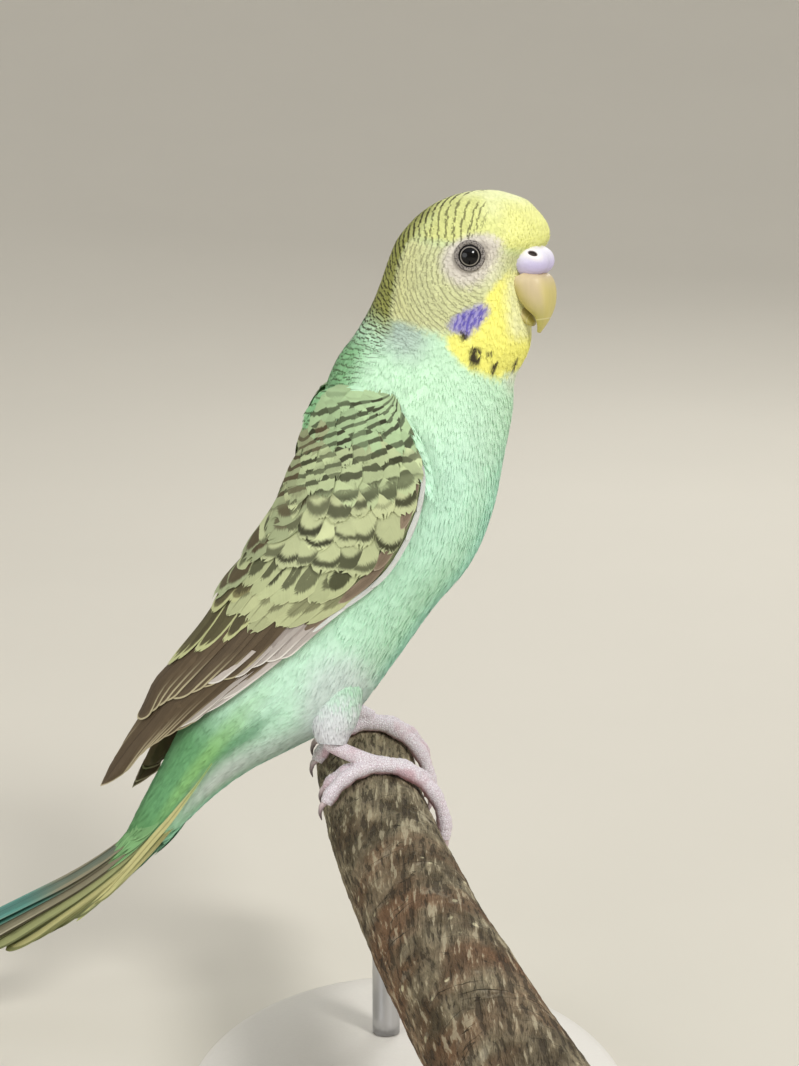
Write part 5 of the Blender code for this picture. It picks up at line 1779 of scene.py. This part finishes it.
def cut_finish():
    made = Finish("cut_wood", Roughness=0.75, Specular_IOR_Level=0.25)
    radius = made.parts("vane")[0]
    wander = made.noise(160.0)
    rings = ((radius + wander * 0.8) * 9.0).sine()
    colour = made.mix(rgb(206, 182, 140), rgb(176, 144, 100), rings.between(-0.2, 0.9))
    colour = made.mix(colour, rgb(110, 84, 58), radius.between(9.2, 9.7))
    made.colour(made.shade(colour, 0.8 + 0.35 * made.noise(1200.0)))
    made.bump(rings, 0.0001, 0.5)
    return made.material


def make_perch():
    """Bark along the branch with its edges eased, and a face of cut wood at each end."""
    rows, around = 400, 110
    line = perch_axis(np.linspace(PERCH_FAR_END, PERCH_NEAR_END, rows + 1))
    rings = tube_points(line, np.ones(rows + 1), math.tau * np.arange(around) / around)

    def out_from(row, v):
        return rings[row, np.round(v * around).astype(int) % around] - line[row]

    def shape(u, v):
        row = np.round(u * rows).astype(int)
        out = out_from(row, v)
        grow = bark_height(line[row, 1], np.arctan2(out[:, 2], out[:, 0]))
        grow = grow - np.where((row == 0) | (row == rows), BARK_END_SINK, BARK_SINK)
        return line[row] + out * (PERCH_RADIUS + grow)[:, None], {"vane": stacked(u, v, 0 * v)}

    dress(grid_piece("bark", rows, around, shape, bark_finish()), "bark", "perch")
    wood = cut_finish()
    for row, inner, name in ((0, 1, "far"), (rows, rows - 1, "near")):
        def end(a, b):
            at = line[row] + out_from(row, b) * (a * (PERCH_RADIUS - 0.35))[:, None]
            return at + unit(line[row] - line[inner]) * 0.06, {
                "vane": stacked(a * PERCH_RADIUS, b, 0 * b)}

        dress(grid_piece(f"cut_end_{name}", 16, around, end, wood, closed=False), "bark")


def make_stand():
    paint = Finish("stand_paint", Roughness=0.42, Specular_IOR_Level=0.4)
    speck = paint.noise(1800.0, detail=1.0)
    paint.colour(paint.shade(rgb(222, 218, 210), 0.96 + 0.06 * speck + 0.04 * paint.noise(40.0)))
    paint.bump(speck, 0.00004, 0.3)

    def base(u, v):
        """Out over the top, down the rounded rim and back under."""
        turn = math.tau * v
        row, high = (np.interp(u * 8, np.arange(9), knots) for knots in BASE_PROFILE)
        x = BASE_CENTRE[0] + BASE_HALF_SIZE[0] * row * np.cos(turn)
        y = BASE_CENTRE[1] + BASE_HALF_SIZE[1] * row * np.sin(turn)
        return stacked(x, y, high * BASE_THICKNESS - PERCH_TOP_HEIGHT), {}

    piece = grid_piece("stand_base_top", 48, 120, base, paint.material)
    dress(piece, "stand_finish", "stand_base")
    steel = Finish("brushed_steel", Metallic=1.0, Roughness=0.3)
    brushed = steel.noise(1200.0, steel.stretched((1.0, 1.0, 0.02)), 2.0)
    steel.colour(steel.shade(rgb(196, 196, 198), 0.85 + 0.25 * brushed))
    steel.rough(0.22 + 0.2 * brushed)
    for number, along in enumerate(ROD_PLACES, 1):
        foot = perch_axis(np.array(along))
        low = BASE_THICKNESS - PERCH_TOP_HEIGHT + GAP
        line = [(foot[0], along, low), (foot[0], along, -2 * PERCH_RADIUS - GAP)]
        rod = swept(f"stand_rod_bright_{number}", line, lambda u: ROD_RADIUS + 0 * u,
                    steel.material, 8, 40)
        dress(rod, "rod_steel", f"stand_rod_{number}")


# Stage

# Name, place, power, size and colour of each lamp, and what they all point at
LAMPS = (
    ("key", (0.42, -0.55, 0.70), 4.6, 0.22, (1.0, 0.99, 0.97)),
    ("fill", (-0.60, -0.65, 0.35), 2.6, 0.6, (0.96, 0.98, 1.0)),
    ("back", (0.25, 0.80, 0.65), 2.4, 0.5, (1.0, 1.0, 1.0)),
)
LAMP_AIM = (0.0, 0.05, 0.10)


def light(name, place, power, size, colour):
    lamp = bpy.data.lights.new(name, "AREA")
    lamp.energy = power
    lamp.color = colour
    lamp.shape = "DISK"
    lamp.size = size
    made = placed(name, lamp)
    made.location = place
    made.rotation_euler = (Vector(LAMP_AIM) - Vector(place)).to_track_quat("-Z", "Y").to_euler()


def make_stage():
    finish = Finish("pale_floor", Roughness=0.85)
    finish.colour(finish.shade(rgb(217, 212, 199), finish.noise(8.0) * 0.04 + 0.97))

    def bowl(u, v):
        """A floor that curves up into a wall all round."""
        bend = np.clip(u / 0.5 - 1.0, 0.0, 1.0) * math.pi / 2
        out = FLOOR_RADIUS * np.minimum(u / 0.5, 1.0) + WALL_BEND * np.sin(bend)
        high = WALL_BEND * (1 - np.cos(bend))
        x = BASE_CENTRE[0] + out * np.cos(math.tau * v)
        y = BASE_CENTRE[1] + out * np.sin(math.tau * v)
        return stacked(x, y, high - PERCH_TOP_HEIGHT), {}

    floor = grid_piece("floor", 48, 96, bowl, finish.material, closed=False)
    world = bpy.data.worlds.new("studio")
    bpy.context.scene.world = world
    world.use_nodes = True
    backdrop = world.node_tree.nodes["Background"]
    backdrop.inputs[0].default_value = (*rgb(240, 240, 242), 1.0)
    backdrop.inputs[1].default_value = 0.8
    for lamp in LAMPS:
        light(*lamp)
    bpy.context.scene.view_settings.view_transform = "Standard"


make_stage()
plumage_material = plumage_finish("soft_plumage", rgb(62, 60, 34), rgb(112, 108, 82))
make_skin(plumage_material)
clothe_body(plumage_material)
vane_material = vane_finish("barred_vanes")
for wing_name, wing_side in SIDES.items():
    make_wing(wing_side, wing_name, vane_material)
    make_wing_web(wing_side, wing_name, plumage_material)
    make_cape(wing_side, wing_name, plumage_material)
make_tail(vane_material)
make_thighs(plumage_material)
make_eyes()
make_bill()
make_cere()
make_feet()
make_perch()
make_stand()
